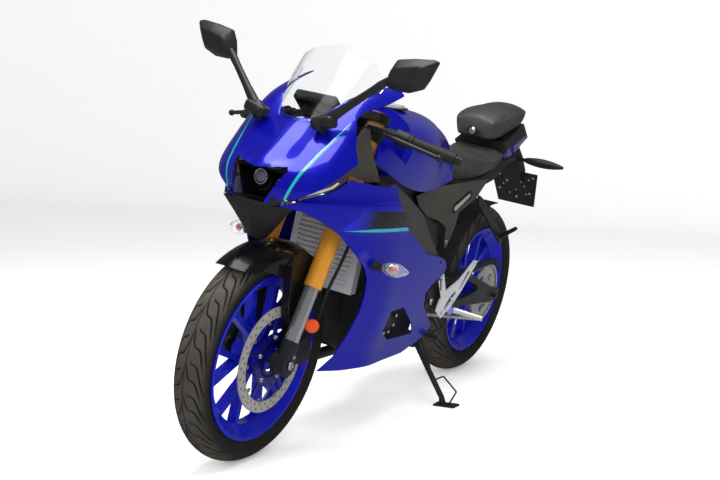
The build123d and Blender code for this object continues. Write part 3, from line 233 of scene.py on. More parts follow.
# %% Slow variation
variation, ins, outs = new_group(
    "variation",
    [("Scale", "NodeSocketFloat", 8.0), ("Low", "NodeSocketFloat", 0.0), ("High", "NodeSocketFloat", 1.0)],
    [("Value", "NodeSocketFloat")],
)
cloud = variation.nodes.new("ShaderNodeTexNoise")
cloud.inputs["Detail"].default_value = 4
variation.links.new(object_point(variation), cloud.inputs["Vector"])
variation.links.new(ins.outputs["Scale"], cloud.inputs["Scale"])
spread = variation.nodes.new("ShaderNodeMapRange")
spread.inputs["From Min"].default_value = 0.3
spread.inputs["From Max"].default_value = 0.7
variation.links.new(cloud.outputs[0], spread.inputs["Value"])
variation.links.new(ins.outputs["Low"], spread.inputs["To Min"])
variation.links.new(ins.outputs["High"], spread.inputs["To Max"])
variation.links.new(spread.outputs[0], outs.inputs["Value"])
print("group:", variation.name)

# %% Fine grain
grain, ins, outs = new_group(
    "grain",
    [("Scale", "NodeSocketFloat", 900.0), ("Roughen", "NodeSocketFloat", 0.5)],
    [("Height", "NodeSocketFloat")],
)
pebbles = grain.nodes.new("ShaderNodeTexVoronoi")
pebbles.feature = "SMOOTH_F1"
grit = grain.nodes.new("ShaderNodeTexNoise")
for texture in (pebbles, grit):
    grain.links.new(object_point(grain), texture.inputs["Vector"])
    grain.links.new(ins.outputs["Scale"], texture.inputs["Scale"])
blended = math_node(grain, "MULTIPLY", grit.outputs[0], ins.outputs["Roughen"])
grain.links.new(math_node(grain, "ADD", pebbles.outputs["Distance"], blended), outs.inputs["Height"])
print("group:", grain.name)

# %% Settled dust
dust, ins, outs = new_group(
    "dust", [("Amount", "NodeSocketFloat", 0.2)], [("Mask", "NodeSocketFloat")]
)
facing = dust.nodes.new("ShaderNodeSeparateXYZ")
geometry = dust.nodes.new("ShaderNodeNewGeometry")
dust.links.new(geometry.outputs["Normal"], facing.inputs[0])
specks = dust.nodes.new("ShaderNodeTexNoise")
specks.inputs["Scale"].default_value = 60
specks.inputs["Detail"].default_value = 6
dust.links.new(object_point(dust), specks.inputs["Vector"])
upward = math_node(dust, "MAXIMUM", facing.outputs["Z"], 0.0)
lying = math_node(dust, "MULTIPLY", upward, specks.outputs[0])
dust.links.new(math_node(dust, "MULTIPLY", lying, ins.outputs["Amount"], clamp=True), outs.inputs["Mask"])
print("group:", dust.name)

# %% [markdown]
# ## Materials
# Paint, metal, plastic and rubber differ in colour, gloss and grain, but they are built alike. So
# each finish is one function call with its own numbers. Constants go straight on the shader's
# sockets. What changes over the surface comes from the groups above.

# %% Material maker
DUST_COLOR = (0.33, 0.3, 0.26)


def placed(tree, group, **values):
    """A node group placed in a material with its own values; gives back its output socket."""
    node = tree.nodes.new("ShaderNodeGroup")
    node.node_tree = group
    for label, value in values.items():
        node.inputs[label.capitalize()].default_value = value
    return node.outputs[0]


def mixed(tree, factor, first, second):
    """Colour between two colours or colour sockets."""
    node = tree.nodes.new("ShaderNodeMix")
    node.data_type = "RGBA"
    for socket, value in zip((node.inputs[0], node.inputs[6], node.inputs[7]), (factor, first, second)):
        if isinstance(value, bpy.types.NodeSocket):
            tree.links.new(value, socket)
        elif isinstance(value, (int, float)):
            socket.default_value = value
        else:
            socket.default_value = (*value, 1)
    return node.outputs[2]


def finish(name, color, shade=None, rough=(0.3, 0.4), metal=0.0, coat=0.0, grain_size=0, depth=0.0,
           dusty=0.0, cloud_size=9.0, **constants):
    """Procedural material: a colour that drifts to a shade, uneven roughness, optional grain and dust."""
    material = bpy.data.materials.new(name)
    material.use_nodes = True
    tree = material.node_tree
    shader = tree.nodes["Principled BSDF"]
    shade = shade or tuple(c * 0.8 for c in color)
    drift = placed(tree, variation, scale=cloud_size, low=0.0, high=1.0)
    tone = mixed(tree, drift, color, shade)
    if dusty:
        tone = mixed(tree, placed(tree, dust, amount=dusty), tone, DUST_COLOR)
    tree.links.new(tone, shader.inputs["Base Color"])
    gloss = placed(tree, variation, scale=cloud_size * 3, low=rough[0], high=rough[1])
    tree.links.new(gloss, shader.inputs["Roughness"])
    shader.inputs["Metallic"].default_value = metal
    shader.inputs["Coat Weight"].default_value = coat
    shader.inputs["Coat Roughness"].default_value = 0.03
    if depth:
        bump = tree.nodes.new("ShaderNodeBump")
        bump.inputs["Strength"].default_value = 0.5
        bump.inputs["Distance"].default_value = depth
        tree.links.new(placed(tree, grain, scale=grain_size, roughen=0.5), bump.inputs["Height"])
        tree.links.new(bump.outputs[0], shader.inputs["Normal"])
    for label, value in constants.items():
        shader.inputs[label.replace("_", " ").title().replace("Ior", "IOR")].default_value = value
    return material


# %% The bike's finishes
blue_paint = finish(
    "blue_paint", (0.003, 0.004, 0.34), (0.0025, 0.0035, 0.32), rough=(0.27, 0.29), metal=0.5,
    coat=0.8, cloud_size=2, coat_ior=1.4, specular_ior_level=0.2,
)
wheel_blue = finish(
    "wheel_blue", (0.006, 0.012, 0.5), (0.005, 0.009, 0.42), rough=(0.26, 0.3), metal=0.45,
    coat=0.8, dusty=0.03, coat_ior=1.4, specular_ior_level=0.2,
)
tyre_rubber = finish(
    "tyre_rubber", (0.046, 0.038, 0.03), (0.03, 0.026, 0.022), rough=(0.6, 0.72), grain_size=1400,
    depth=0.0002, dusty=0.25, specular_ior_level=0.3,
)
black_metal = finish(
    "black_metal", (0.012, 0.012, 0.013), (0.02, 0.02, 0.021), rough=(0.3, 0.45), metal=0.3,
    coat=0.15, grain_size=700, depth=0.0001, specular_ior_level=0.3,
)
black_gloss = finish(
    "black_gloss", (0.002, 0.002, 0.0025), (0.004, 0.004, 0.0045), rough=(0.2, 0.26), coat=0.35,
    coat_ior=1.35, specular_ior_level=0.2,
)
black_plastic = finish(
    "black_plastic", (0.008, 0.008, 0.0085), (0.012, 0.012, 0.0125), rough=(0.42, 0.55),
    grain_size=1100, depth=0.00015, dusty=0.04, specular_ior_level=0.25,
)
gold_anodised = finish(
    "gold_anodised", (1.0, 0.44, 0.05), (0.95, 0.4, 0.045), rough=(0.22, 0.28), metal=0.6,
    cloud_size=2, coat=0.5,
)
chrome = finish("chrome", (0.72, 0.73, 0.75), (0.6, 0.61, 0.63), rough=(0.08, 0.14), metal=0.9)
disc_steel = finish("disc_steel", (0.3, 0.29, 0.26), (0.24, 0.235, 0.21), rough=(0.26, 0.36), metal=0.3)
chain_steel = finish("chain_steel", (0.24, 0.21, 0.16), (0.15, 0.13, 0.11), rough=(0.3, 0.5), metal=0.4)
alloy = finish(
    "alloy", (0.6, 0.61, 0.62), (0.48, 0.49, 0.5), rough=(0.25, 0.36), metal=0.4, grain_size=900,
    depth=0.0001,
)
radiator_alloy = finish(
    "radiator_alloy", (0.5, 0.51, 0.53), (0.4, 0.41, 0.43), rough=(0.35, 0.5), metal=0.15,
    grain_size=260, depth=0.001,
)
engine_black = finish(
    "engine_black", (0.016, 0.016, 0.018), (0.03, 0.03, 0.032), rough=(0.45, 0.6), metal=0.4,
    grain_size=500, depth=0.0003,
)
satin_grey = finish(
    "satin_grey", (0.034, 0.033, 0.027), (0.026, 0.025, 0.021), rough=(0.3, 0.38), grain_size=1000,
    depth=0.0001, specular_ior_level=0.35,
)
seat_cover = finish(
    "seat_cover", (0.032, 0.035, 0.031), (0.023, 0.025, 0.023), rough=(0.42, 0.52), grain_size=900,
    depth=0.0003, specular_ior_level=0.4,
)
rubber = finish(
    "rubber", (0.009, 0.009, 0.009), (0.013, 0.013, 0.012), rough=(0.5, 0.65), grain_size=900,
    depth=0.0002, specular_ior_level=0.25,
)
spring_red = finish("spring_red", (0.42, 0.006, 0.02), (0.34, 0.004, 0.016), rough=(0.25, 0.35), coat=0.8)
red_lens = finish("red_lens", (0.4, 0.004, 0.006), (0.3, 0.003, 0.005), rough=(0.1, 0.16), coat=1.0)
amber_lens = finish(
    "amber_lens", (0.62, 0.06, 0.001), (0.5, 0.045, 0.001), rough=(0.2, 0.28), coat=0.4,
    grain_size=350, depth=0.0004,
)
lamp_glass = finish(
    "lamp_glass", (0.95, 0.96, 0.98), (0.9, 0.92, 0.95), rough=(0.04, 0.08),
    transmission_weight=0.93, ior=1.45,
)
screen_clear = finish(
    "screen_clear", (0.96, 0.97, 0.975), (0.93, 0.95, 0.96), rough=(0.01, 0.03),
    transmission_weight=1.0, ior=1.2,
)
PAINTS = {
    "tyre": tyre_rubber, "wheel_paint": wheel_blue, "disc_steel": disc_steel, "chain_steel": chain_steel,
    "black_metal": black_metal, "gold": gold_anodised, "chrome": chrome, "black_gloss": black_gloss,
    "black_plastic": black_plastic, "amber": amber_lens, "rubber": rubber, "engine_black": engine_black,
    "radiator_alloy": radiator_alloy, "spring_red": spring_red, "blue_paint": blue_paint,
    "satin_grey": satin_grey, "lamp_glass": lamp_glass, "clear_screen": screen_clear, "alloy": alloy,
    "seat_cover": seat_cover, "red_lens": red_lens,
}
print("finishes for", len(PAINTS), "material slots")

# %% [markdown]
# ## Floor in reflections
# Glossy paint shows the pale floor far too brightly, so the floor is darker and doesn't glow for
# mirrored rays. Rays that pass through the clear screen still see it pale.

# %% Floor in reflections
FLOOR_COLOR, FLOOR_IN_GLOSS = (0.88, 0.88, 0.885), (0.17, 0.17, 0.18)
FLOOR_GLOW = 0.22
floor_tree = floor_paint.node_tree
rays = floor_tree.nodes.new("ShaderNodeLightPath").outputs
glossy, passing = rays["Is Glossy Ray"], rays["Is Transmission Ray"]
mirrored_ray = math_node(floor_tree, "SUBTRACT", glossy, passing, clamp=True)
floor_tone = mixed(floor_tree, mirrored_ray, FLOOR_COLOR, FLOOR_IN_GLOSS)
floor_tree.links.new(floor_tone, floor_shader.inputs["Base Color"])
seen_directly = math_node(floor_tree, "SUBTRACT", 1.0, mirrored_ray)
glow = math_node(floor_tree, "MULTIPLY", seen_directly, FLOOR_GLOW)
floor_tree.links.new(glow, floor_shader.inputs["Emission Strength"])
print("floor glow:", FLOOR_GLOW, "where it is seen directly")

# %% [markdown]
# ## Dressing the CAD parts
# A CAD node is a heap of loose triangles with flat shading. A copy has its doubles merged, its
# curved faces smoothed and its creases kept, and then stands for the node. Blocky pieces also get
# a narrow bevel, because no moulded or cast edge is perfectly sharp.

# %% Dress a node
NODE_SLOT = {row["node"]: row["material_slot"] for row in frame["record"]["subparts"]}
NODE_BODY = {node: body for body, nodes in frame["record"]["behaviour"]["bodies"].items() for node in nodes}


def finished(name, bm, material, body, sharp=30.0):
    """Object from a bmesh, smoothed between its creases, riding on a body."""
    for face in bm.faces:
        face.smooth = True
    for edge in bm.edges:
        edge.smooth = edge.calc_face_angle(0) < radians(sharp)
    mesh = bpy.data.meshes.new(name)
    bm.to_mesh(mesh)
    bm.free()
    piece = bpy.data.objects.new(name, mesh)
    bpy.context.scene.collection.objects.link(piece)
    piece.data.materials.append(material)
    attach(piece, body)
    return piece


def rounded(piece, width, segments=2):
    """Narrow bevel on the piece's creases."""
    bevel = piece.modifiers.new("soft edges", "BEVEL")
    bevel.width = width
    bevel.segments = segments
    bevel.limit_method = "ANGLE"
    bevel.angle_limit = radians(35)
    bevel.harden_normals = True
    return piece


def merged_copy(node):
    """A CAD node's mesh with its stored normals dropped and its doubles merged."""
    bm = bmesh.new()
    bm.from_mesh(frame["nodes"][node].data)
    for layer in list(bm.loops.layers.float_vector.values()):
        bm.loops.layers.float_vector.remove(layer)
    bmesh.ops.remove_doubles(bm, verts=bm.verts, dist=0.00001)
    return bm


def dressed(node, material=None, sharp=28.0, edge=0.0):
    """Smoothed copy that stands for a CAD node, with a bevel where an edge width is given."""
    bm = merged_copy(node)
    if edge:
        bmesh.ops.dissolve_limit(bm, angle_limit=radians(1.5), verts=bm.verts, edges=bm.edges)
    slot = NODE_SLOT[node]
    piece = finished(node + "_shown", bm, material or PAINTS[slot], NODE_BODY[node], sharp)
    if edge:
        rounded(piece, edge)
    else:
        even = piece.modifiers.new("even light", "WEIGHTED_NORMAL")
        even.keep_sharp = True
    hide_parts(node)
    return piece


BLOCKY = {
    "yokes": 0.001, "front_caliper": 0.0015, "frame": 0.001, "engine": 0.003, "swingarm": 0.0015,
    "footrests": 0.0006, "dash": 0.001,
}
REMADE = {
    "side_fairings", "nose_cowl", "mirrors", "front_signals", "windscreen", "chin", "drl_lamps",
    "front_tyre", "rear_tyre", "rider_seat", "pillion_seat", "tail_cowl", "plate_hanger",
}
dressed_nodes = [node for node in sorted(frame["nodes"]) if node not in REMADE]
shown = {node: dressed(node, edge=BLOCKY.get(node, 0.0)) for node in dressed_nodes}
print("dressed", len(shown), "nodes")

# %% [markdown]
# ## Painted skins
# A fairing panel is one moulded sheet whose reflections run unbroken from end to end. A coarse cage
# of a few sections with a Subdivision Surface gives that. The cage is first moved outwards until
# the smooth surface passes through the drawn points. Then it gets its wall, and Boolean modifiers
# trim it to its outline, so the cut edges stay crisp while the reflections stay smooth.

# %% Cage helpers


def grow_cage(sections):
    """Sheet extruded from the first line of points through the next ones."""
    bm = bmesh.new()
    verts = [bm.verts.new(Vector(p) * MM) for p in sections[0]]
    edges = [bm.edges.new(pair) for pair in zip(verts, verts[1:])]
    for points in sections[1:]:
        made = bmesh.ops.extrude_edge_only(bm, edges=edges)["geom"]
        edges = [g for g in made if isinstance(g, bmesh.types.BMEdge)]
        moved = [g for g in made if isinstance(g, bmesh.types.BMVert)]
        for vert, point in zip(moved, points):
            vert.co = Vector(point) * MM
    return bm


def limit_point(v):
    """Where Catmull-Clark subdivision puts a vertex of a grid."""
    if v.is_boundary:
        near = [e.other_vert(v).co for e in v.link_edges if e.is_boundary]
        return v.co.copy() if len(v.link_faces) == 1 else (4 * v.co + near[0] + near[1]) / 6
    beside = [e.other_vert(v) for e in v.link_edges]
    across = {w for f in v.link_faces for w in f.verts} - set(beside) - {v}
    total = 16 * v.co + 4 * sum((w.co for w in beside), Vector()) + sum((w.co for w in across), Vector())
    return total / 36


def fit_cage(bm, rounds=8):
    """Moves the cage until its smooth surface passes through the drawn points."""
    aims = {v: v.co.copy() for v in bm.verts}
    for _ in range(rounds):
        for v, error in [(v, aims[v] - limit_point(v)) for v in bm.verts]:
            v.co += error


WHOLE_WIDTH, LEFT_HALF = (-400, 400), (0, 400)


def prism(outline, way, low, high):
    """Closed prism of an outline of points in mm, standing along the named axis."""
    bm = bmesh.new()
    place = {
        "X": lambda a, b, t: (t, a, b),
        "Y": lambda a, b, t: (a, t, b),
        "Z": lambda a, b, t: (a, b, t),
    }[way]
    face = bm.faces.new([bm.verts.new(Vector(place(a, b, low)) * MM) for a, b in outline])
    made = bmesh.ops.extrude_face_region(bm, geom=[face])["geom"]
    moved = [g for g in made if isinstance(g, bmesh.types.BMVert)]
    bmesh.ops.translate(bm, verts=moved, vec=Vector(place(0, 0, high - low)) * MM)
    bmesh.ops.recalc_face_normals(bm, faces=bm.faces)
    return bm


def loose_object(name, bm):
    """Helper object that isn't part of the bike."""
    mesh = bpy.data.meshes.new(name)
    bm.to_mesh(mesh)
    bm.free()
    made = bpy.data.objects.new(name, mesh)
    bpy.context.scene.collection.objects.link(made)
    return made


def evaluated_mesh(thing):
    """New mesh of an object with its modifiers applied."""
    return bpy.data.meshes.new_from_object(thing.evaluated_get(bpy.context.evaluated_depsgraph_get()))


def boolean(operation, cutter):
    """A Boolean step for with_modifiers; the cutter is a place in its list of cutters."""
    return "BOOLEAN", {"operation": operation, "object": cutter, "solver": "EXACT"}


def with_modifiers(bm, steps, cutters=()):
    """The bmesh after a list of modifiers; a Boolean step names a cutter by its place in the list."""
    work = loose_object("work", bm)
    tools = [loose_object("cutter", cutter) for cutter in cutters]
    for kind, values in steps:
        modifier = work.modifiers.new(kind, kind)
        for label, value in values.items():
            setattr(modifier, label, tools[value] if label == "object" else value)
    result = bmesh.new()
    result.from_mesh(evaluated_mesh(work))
    for helper in (work, *tools):
        bpy.data.objects.remove(helper)
    return result


def skin_piece(cage, wall, keep, cuts=(), levels=3, offset=-1):
    """Smooth sheet from a cage, thickened, kept inside one prism and cut by the others."""
    steps = [
        ("SUBSURF", {"levels": levels, "render_levels": levels}),
        ("SOLIDIFY", {"thickness": wall, "offset": offset, "use_even_offset": True}),
        boolean("INTERSECT", 0),
        *(boolean("DIFFERENCE", k + 1) for k in range(len(cuts))),
    ]
    return with_modifiers(cage, steps, (keep, *cuts))


def point_out(bm, way):
    """Turns an open sheet over where its faces look, on the whole, away from a direction."""
    bm.normal_update()
    if sum(f.normal.dot(Vector(way)) for f in bm.faces) < 0:
        bmesh.ops.reverse_faces(bm, faces=bm.faces)


def both_sides(bm):
    """Adds the mirror image across the bike's middle plane."""
    whole = [*bm.verts, *bm.edges, *bm.faces]
    bmesh.ops.mirror(bm, geom=whole, matrix=Matrix.Identity(4), merge_dist=0.000001, axis="X")
    bmesh.ops.recalc_face_normals(bm, faces=bm.faces)
    return bm


def added(name, bm, material, node, sharp=35.0):
    """Leans a piece into place and lets it ride on the body of a CAD node."""
    bm.transform(PARK)
    piece = finished(name, bm, material, NODE_BODY[node], sharp)
    print(name, len(piece.data.polygons), "faces")
    return piece


def on_bike(name, bm, material, node, sharp=35.0):
    """Leans a piece into place and lets it stand for a CAD node."""
    piece = added(name, bm, material, node, sharp)
    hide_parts(node)
    return piece


# %% [markdown]
# ## Upper cowl
# One skin from the tip of the nose to the wings beside the screen. Each section runs over the ridge:
# ridge, shoulder, widest point and lower edge. The cage is the same on both sides, and the screen's
# and the intake's openings are cut through it.

# %% Upper cowl
# front to rear: y, ridge z, shoulder (x, z), widest (x, z), lower edge (x, z)
COWL_ROWS = (
    (-792, 800, (26, 800), (46, 768), (40, 722)),
    (-760, 829, (54, 822), (95, 775), (80, 722)),
    (-733, 851, (80, 834), (140, 775), (118, 716)),
    (-690, 886, (96, 872), (176, 785), (150, 706)),
    (-640, 927, (112, 915), (196, 795), (172, 692)),
    (-570, 985, (124, 975), (212, 810), (192, 664)),
    (-480, 1042, (140, 1012), (224, 825), (206, 640)),
    (-370, 1082, (158, 1036), (230, 840), (215, 632)),
    (-340, 1092, (163, 1042), (232, 845), (217, 630)),
)
COWL_EDGE = (
    (-800, 742), (-792, 728), (-774, 727), (-754, 741), (-733, 765), (-700, 792), (-663, 816), (-635, 834),
    (-612, 846), (-606, 856), (-604, 886), (-588, 925), (-570, 957), (-542, 976), (-484, 990),
    (-430, 1006), (-368, 1026), (-360, 1060), (-500, 1140), (-800, 1000),
)
SCREEN_ROOM = (
    (0, -629), (40, -620), (62, -604), (88, -566), (108, -500), (132, -366), (132, -300),
    (-132, -300), (-132, -366), (-108, -500), (-88, -566), (-62, -604), (-40, -620),
)
INTAKE_ROOM = (
    (0, 812), (76, 824), (82, 815), (45, 726), (30, 700), (-30, 700), (-45, 726), (-82, 815), (-76, 824),
)
SCREEN_ROOM_SPAN, INTAKE_ROOM_SPAN = (880, 1200), (-840, -690)
SHOULDER_FULLNESS, CROWN_FULLNESS, FLANK_FULLNESS = 0.13, 0.58, 3
PANEL_WALL = 0.003


def cowl_cage():
    """The upper cowl's cage: each row runs from the right edge over the ridge to the left edge."""
    sections = []
    for y, ridge, (sx, sz), (wx, wz), (bx, bz) in COWL_ROWS:
        crown = (sx * 0.5, ridge - (ridge - sz) * CROWN_FULLNESS)
        out, up = (sz - wz) * SHOULDER_FULLNESS, (wx - sx) * SHOULDER_FULLNESS
        bulge = ((sx + wx) / 2 + out, (sz + wz) / 2 + up)
        flank = ((wx + bx) / 2 + FLANK_FULLNESS, (wz + bz) / 2)
        half = [crown, (sx, sz), bulge, (wx, wz), flank, (bx, bz)]
        left = [(x, y, z) for x, z in half]
        right = [(-x, y, z) for x, z in reversed(half)]
        sections.append([*right, (0, y, ridge), *left])
    bm = grow_cage(sections)
    fit_cage(bm)
    point_out(bm, (0, -0.5, 1))
    return bm


# %% Upper cowl's skin
cowl_openings = (
    prism(SCREEN_ROOM, "Z", *SCREEN_ROOM_SPAN),
    prism(INTAKE_ROOM, "Y", *INTAKE_ROOM_SPAN),
)
cowl = skin_piece(cowl_cage(), PANEL_WALL, prism(COWL_EDGE, "X", *WHOLE_WIDTH), cowl_openings)
on_bike("nose_cowl_skin", cowl, blue_paint, "nose_cowl")

# %% [markdown]
# ## Side panels
# The side panel bulges along a belt behind the nose, with a ledge above it and a hollow below, and
# then runs down nearly flat to the belly. Slices from low to high carry those widths.

# %% Side panels
# low to high: z, x at the front end, below the slit, at the knee, at the rear end
SIDE_ROWS = (
    (230, 60, 136, 182, 152),
    (300, 64, 142, 186, 160),
    (365, 72, 152, 200, 170),
    (430, 78, 162, 208, 182),
    (490, 78, 168, 211, 188),
    (567, 72, 172, 212, 198),
    (636, 64, 172, 212, 202),
    (668, 64, 178, 217, 206),
    (712, 66, 190, 228, 213),
    (742, 66, 192, 228, 212),
    (760, 60, 184, 220, 206),
    (860, 80, 188, 220, 208),
)
SIDE_Y = (-800, -580, -350, 120)
SIDE_COLUMNS = (-810, -740, -660, -580, -500, -425, -350, -270, -180, -80, 20, 120)
SIDE_EDGE = (
    (-775, 726), (-760, 731), (-738, 739), (-710, 750), (-670, 762), (-638, 775), (-612, 794),
    (-596, 805), (-500, 790), (-408, 786), (-386, 726), (-307, 669), (-200, 608), (-126, 567),
    (-30, 548), (30, 530), (58, 503), (52, 480), (-15, 462), (-60, 434), (-42, 390), (58, 322),
    (88, 296), (20, 264), (-110, 245), (-320, 252), (-470, 258), (-560, 268), (-512, 304),
    (-485, 362), (-463, 430), (-457, 489), (-462, 527), (-488, 567), (-528, 602), (-590, 652),
    (-665, 693), (-723, 717),
)
BELLY_ROOM = ((-296, 413), (-205, 411), (-76, 326), (-70, 300), (-245, 314), (-316, 350))
TAB_Y, TAB_Z, TAB_RADIUS = -2, 526, 6
TAB_TURNS = [radians(30 * k) for k in range(12)]
TAB_HOLE = [(TAB_Y + TAB_RADIUS * cos(a), TAB_Z + TAB_RADIUS * sin(a)) for a in TAB_TURNS]


def side_x(row, y):
    """Width of one slice at y: an arc through the first three widths, then a straight run."""
    (y0, y1, y2, y3), (_, x0, x1, x2, x3) = SIDE_Y, row
    if y > y2:
        return x2 + (x3 - x2) * (y - y2) / (y3 - y2)
    a = (y - y1) * (y - y2) / ((y0 - y1) * (y0 - y2))
    b = (y - y0) * (y - y2) / ((y1 - y0) * (y1 - y2))
    return a * x0 + b * x1 + (1 - a - b) * x2


def side_cage(inset=0.0):
    """The left side panel's cage, set back by an inset where a lamp lies behind the panel."""
    bm = grow_cage([[(side_x(row, y) - inset, y, row[0]) for y in SIDE_COLUMNS] for row in SIDE_ROWS])
    fit_cage(bm)
    point_out(bm, (1, 0, 0))
    return bm


# %% Side panels' skins
side_openings = (prism(BELLY_ROOM, "X", *LEFT_HALF), prism(TAB_HOLE, "X", *LEFT_HALF))
panel = skin_piece(side_cage(), PANEL_WALL, prism(SIDE_EDGE, "X", *LEFT_HALF), side_openings)
on_bike("side_panel_skins", both_sides(panel), blue_paint, "side_fairings")

# %% [markdown]
# ## Stripes
# Stickers lie on the paint and follow it exactly, so each one is cut from the same cage as its
# panel, 0.4 mm proud of it. The nose stripe is cut out with a ribbon, a bar that runs along the
# shoulder. The belt's sticker fades from the paint's blue to black, by its place along the bike.

# %% Stripes
STICKER = 0.0004
teal = finish("teal_stripe", (0.0, 0.27, 0.31), (0.0, 0.24, 0.28), rough=(0.2, 0.26), coat=1.0)
navy = finish("navy_line", (0.004, 0.006, 0.06), (0.003, 0.005, 0.05), rough=(0.2, 0.26), coat=1.0)
STRIPE_PATH = (
    (93, -776, 742), (101, -757, 778), (109, -738, 811), (123, -682, 866), (132, -647, 896),
    (140, -601, 933), (143, -584, 947),
)
STRIPE_HALF = (3, 3.6, 3.8, 3.2, 2.4, 1.2, 0.4)
LINE_SHIFT = (3.6, 3, -3.6)
LINE_PATH = [[a + b for a, b in zip(point, LINE_SHIFT)] for point in STRIPE_PATH]
LINE_HALF = (1.3, 1.3, 1.3, 1.1, 0.9, 0.6, 0.3)
BELT_STRIPE = ((-590, 668), (-470, 662), (-330, 656), (-290, 653), (-302, 664), (-335, 667), (-470, 672))
BELT_PANEL = (
    (-600, 669), (-470, 673), (-335, 668), (-300, 667), (-322, 684), (-352, 706), (-372, 716),
    (-450, 722), (-545, 726),
)


def ribbon(path, halves, outward=(0.45, -0.68, 0.58), reach=24):
    """Closed bar along a path of points, wide across the path and deep along the outward direction."""
    out = Vector(outward).normalized() * reach
    sections = []
    for k, (point, half) in enumerate(zip(path, halves)):
        run = Vector(path[min(k + 1, len(path) - 1)]) - Vector(path[max(k - 1, 0)])
        side = run.cross(out).normalized() * half
        corners = [Vector(point) + a * side + b * out for a, b in ((1, -1), (1, 1), (-1, 1), (-1, -1))]
        sections.append([*corners, corners[0]])
    bm = grow_cage(sections)
    bmesh.ops.remove_doubles(bm, verts=bm.verts, dist=0.000001)
    bmesh.ops.holes_fill(bm, edges=[e for e in bm.edges if e.is_boundary])
    bmesh.ops.recalc_face_normals(bm, faces=bm.faces)
    return bm


def sticker(name, cage, keep, material, node):
    """Thin skin on both sides of the bike, outside the painted one and kept inside a prism."""
    bm = skin_piece(cage, STICKER, keep, offset=1)
    return added(name, both_sides(bm), material, node)


# %% Belt sticker's finish
BELT_BLUE, BELT_BLACK = (0.004, 0.005, 0.36), (0.006, 0.006, 0.007)
FADE_FROM, FADE_TO = -0.575, -0.49
belt_black = bpy.data.materials.new("belt_sticker")
belt_black.use_nodes = True
tree = belt_black.node_tree
belt_shader = tree.nodes["Principled BSDF"]
along = tree.nodes.new("ShaderNodeSeparateXYZ")
tree.links.new(object_point(tree), along.inputs[0])
fade = tree.nodes.new("ShaderNodeMapRange")
fade.inputs["From Min"].default_value = shift.y + FADE_FROM
fade.inputs["From Max"].default_value = shift.y + FADE_TO
tree.links.new(along.outputs["Y"], fade.inputs["Value"])
tree.links.new(mixed(tree, fade.outputs[0], BELT_BLUE, BELT_BLACK), belt_shader.inputs["Base Color"])
belt_shader.inputs["Coat Weight"].default_value = 0.3
belt_shader.inputs["Specular IOR Level"].default_value = 0.2
belt_gloss = placed(tree, variation, scale=12, low=0.22, high=0.3)
tree.links.new(belt_gloss, belt_shader.inputs["Roughness"])

# %% Stickers on both sides
sticker("nose_stripes", cowl_cage(), ribbon(STRIPE_PATH, STRIPE_HALF), teal, "nose_cowl")
sticker("nose_lines", cowl_cage(), ribbon(LINE_PATH, LINE_HALF), navy, "nose_cowl")
sticker("belt_stripes", side_cage(), prism(BELT_STRIPE, "X", *LEFT_HALF), teal, "side_fairings")
sticker("belt_panels", side_cage(), prism(BELT_PANEL, "X", *LEFT_HALF), belt_black, "side_fairings")

# %% [markdown]
# ## Running lights
# Each slit between cowl and side panel holds a dark lens with a bright bar along its lower edge.
# Lens and bar are cut from the side panel's cage, set back inside the slit.

# %% Running lights
SLIT_LENS = (
    (-770, 736), (-738, 742), (-710, 753), (-670, 765), (-638, 778), (-612, 797), (-604, 806),
    (-607, 846), (-635, 829), (-663, 812), (-700, 792), (-735, 774), (-765, 752),
)
SLIT_BAR = (
    (-762, 740), (-738, 745), (-710, 756), (-672, 768), (-643, 780), (-628, 794), (-634, 797),
    (-648, 785), (-674, 774), (-711, 763), (-738, 752), (-758, 746),
)
LENS_INSET, BAR_INSET, LAMP_WALL = 5.0, 3.0, 0.004
lens_dark = finish("dark_lens", (0.02, 0.012, 0.03), (0.012, 0.008, 0.02), rough=(0.06, 0.1), coat=1.0)
bar_bright = finish(
    "bright_bar", (0.75, 0.76, 0.78), (0.65, 0.66, 0.68), rough=(0.18, 0.25), metal=0.6, coat=0.6,
)
lens = skin_piece(side_cage(LENS_INSET), LAMP_WALL, prism(SLIT_LENS, "X", *LEFT_HALF))
on_bike("running_light_lenses", both_sides(lens), lens_dark, "drl_lamps")
bar = skin_piece(side_cage(BAR_INSET), LAMP_WALL, prism(SLIT_BAR, "X", *LEFT_HALF))
added("running_light_bars", both_sides(bar), bar_bright, "drl_lamps")

# %% [markdown]
# ## Chin
# The black wedge under the nose has a raised middle rib. It is lofted from three outlines with
# bridge_loops, and its edges are bevelled.

# %% Chin
CHIN_LEVELS = (
    (722, ((-96, -768), (-44, -780), (0, -784), (44, -780), (96, -768), (90, -702), (0, -702), (-90, -702))),
    (684, ((-62, -758), (-30, -768), (0, -774), (30, -768), (62, -758), (60, -702), (0, -702), (-60, -702))),
    (624, ((-18, -738), (-8, -742), (0, -744), (8, -742), (18, -738), (17, -702), (0, -702), (-17, -702))),
)


def lofted(levels, place):
    """Closed loft through outlines that have the same number of points."""
    bm = bmesh.new()
    rings = [[bm.verts.new(Vector(place(level, a, b)) * MM) for a, b in points] for level, points in levels]
    loops = [[bm.edges.new((ring[k - 1], ring[k])) for k in range(len(ring))] for ring in rings]
    for lower, upper in zip(loops, loops[1:]):
        bmesh.ops.bridge_loops(bm, edges=[*lower, *upper])
    bmesh.ops.contextual_create(bm, geom=loops[0])
    bmesh.ops.contextual_create(bm, geom=loops[-1])
    bmesh.ops.recalc_face_normals(bm, faces=bm.faces)
    return bm


def bevelled(bm, width, segments=2, angle=20.0):
    """Rounds every crease sharper than an angle."""
    edges = [e for e in bm.edges if e.calc_face_angle(0) > radians(angle)]
    bmesh.ops.bevel(
        bm, geom=edges, offset=width, segments=segments, profile=0.5, material=-1, affect="EDGES",
        clamp_overlap=True,
    )
    return bm


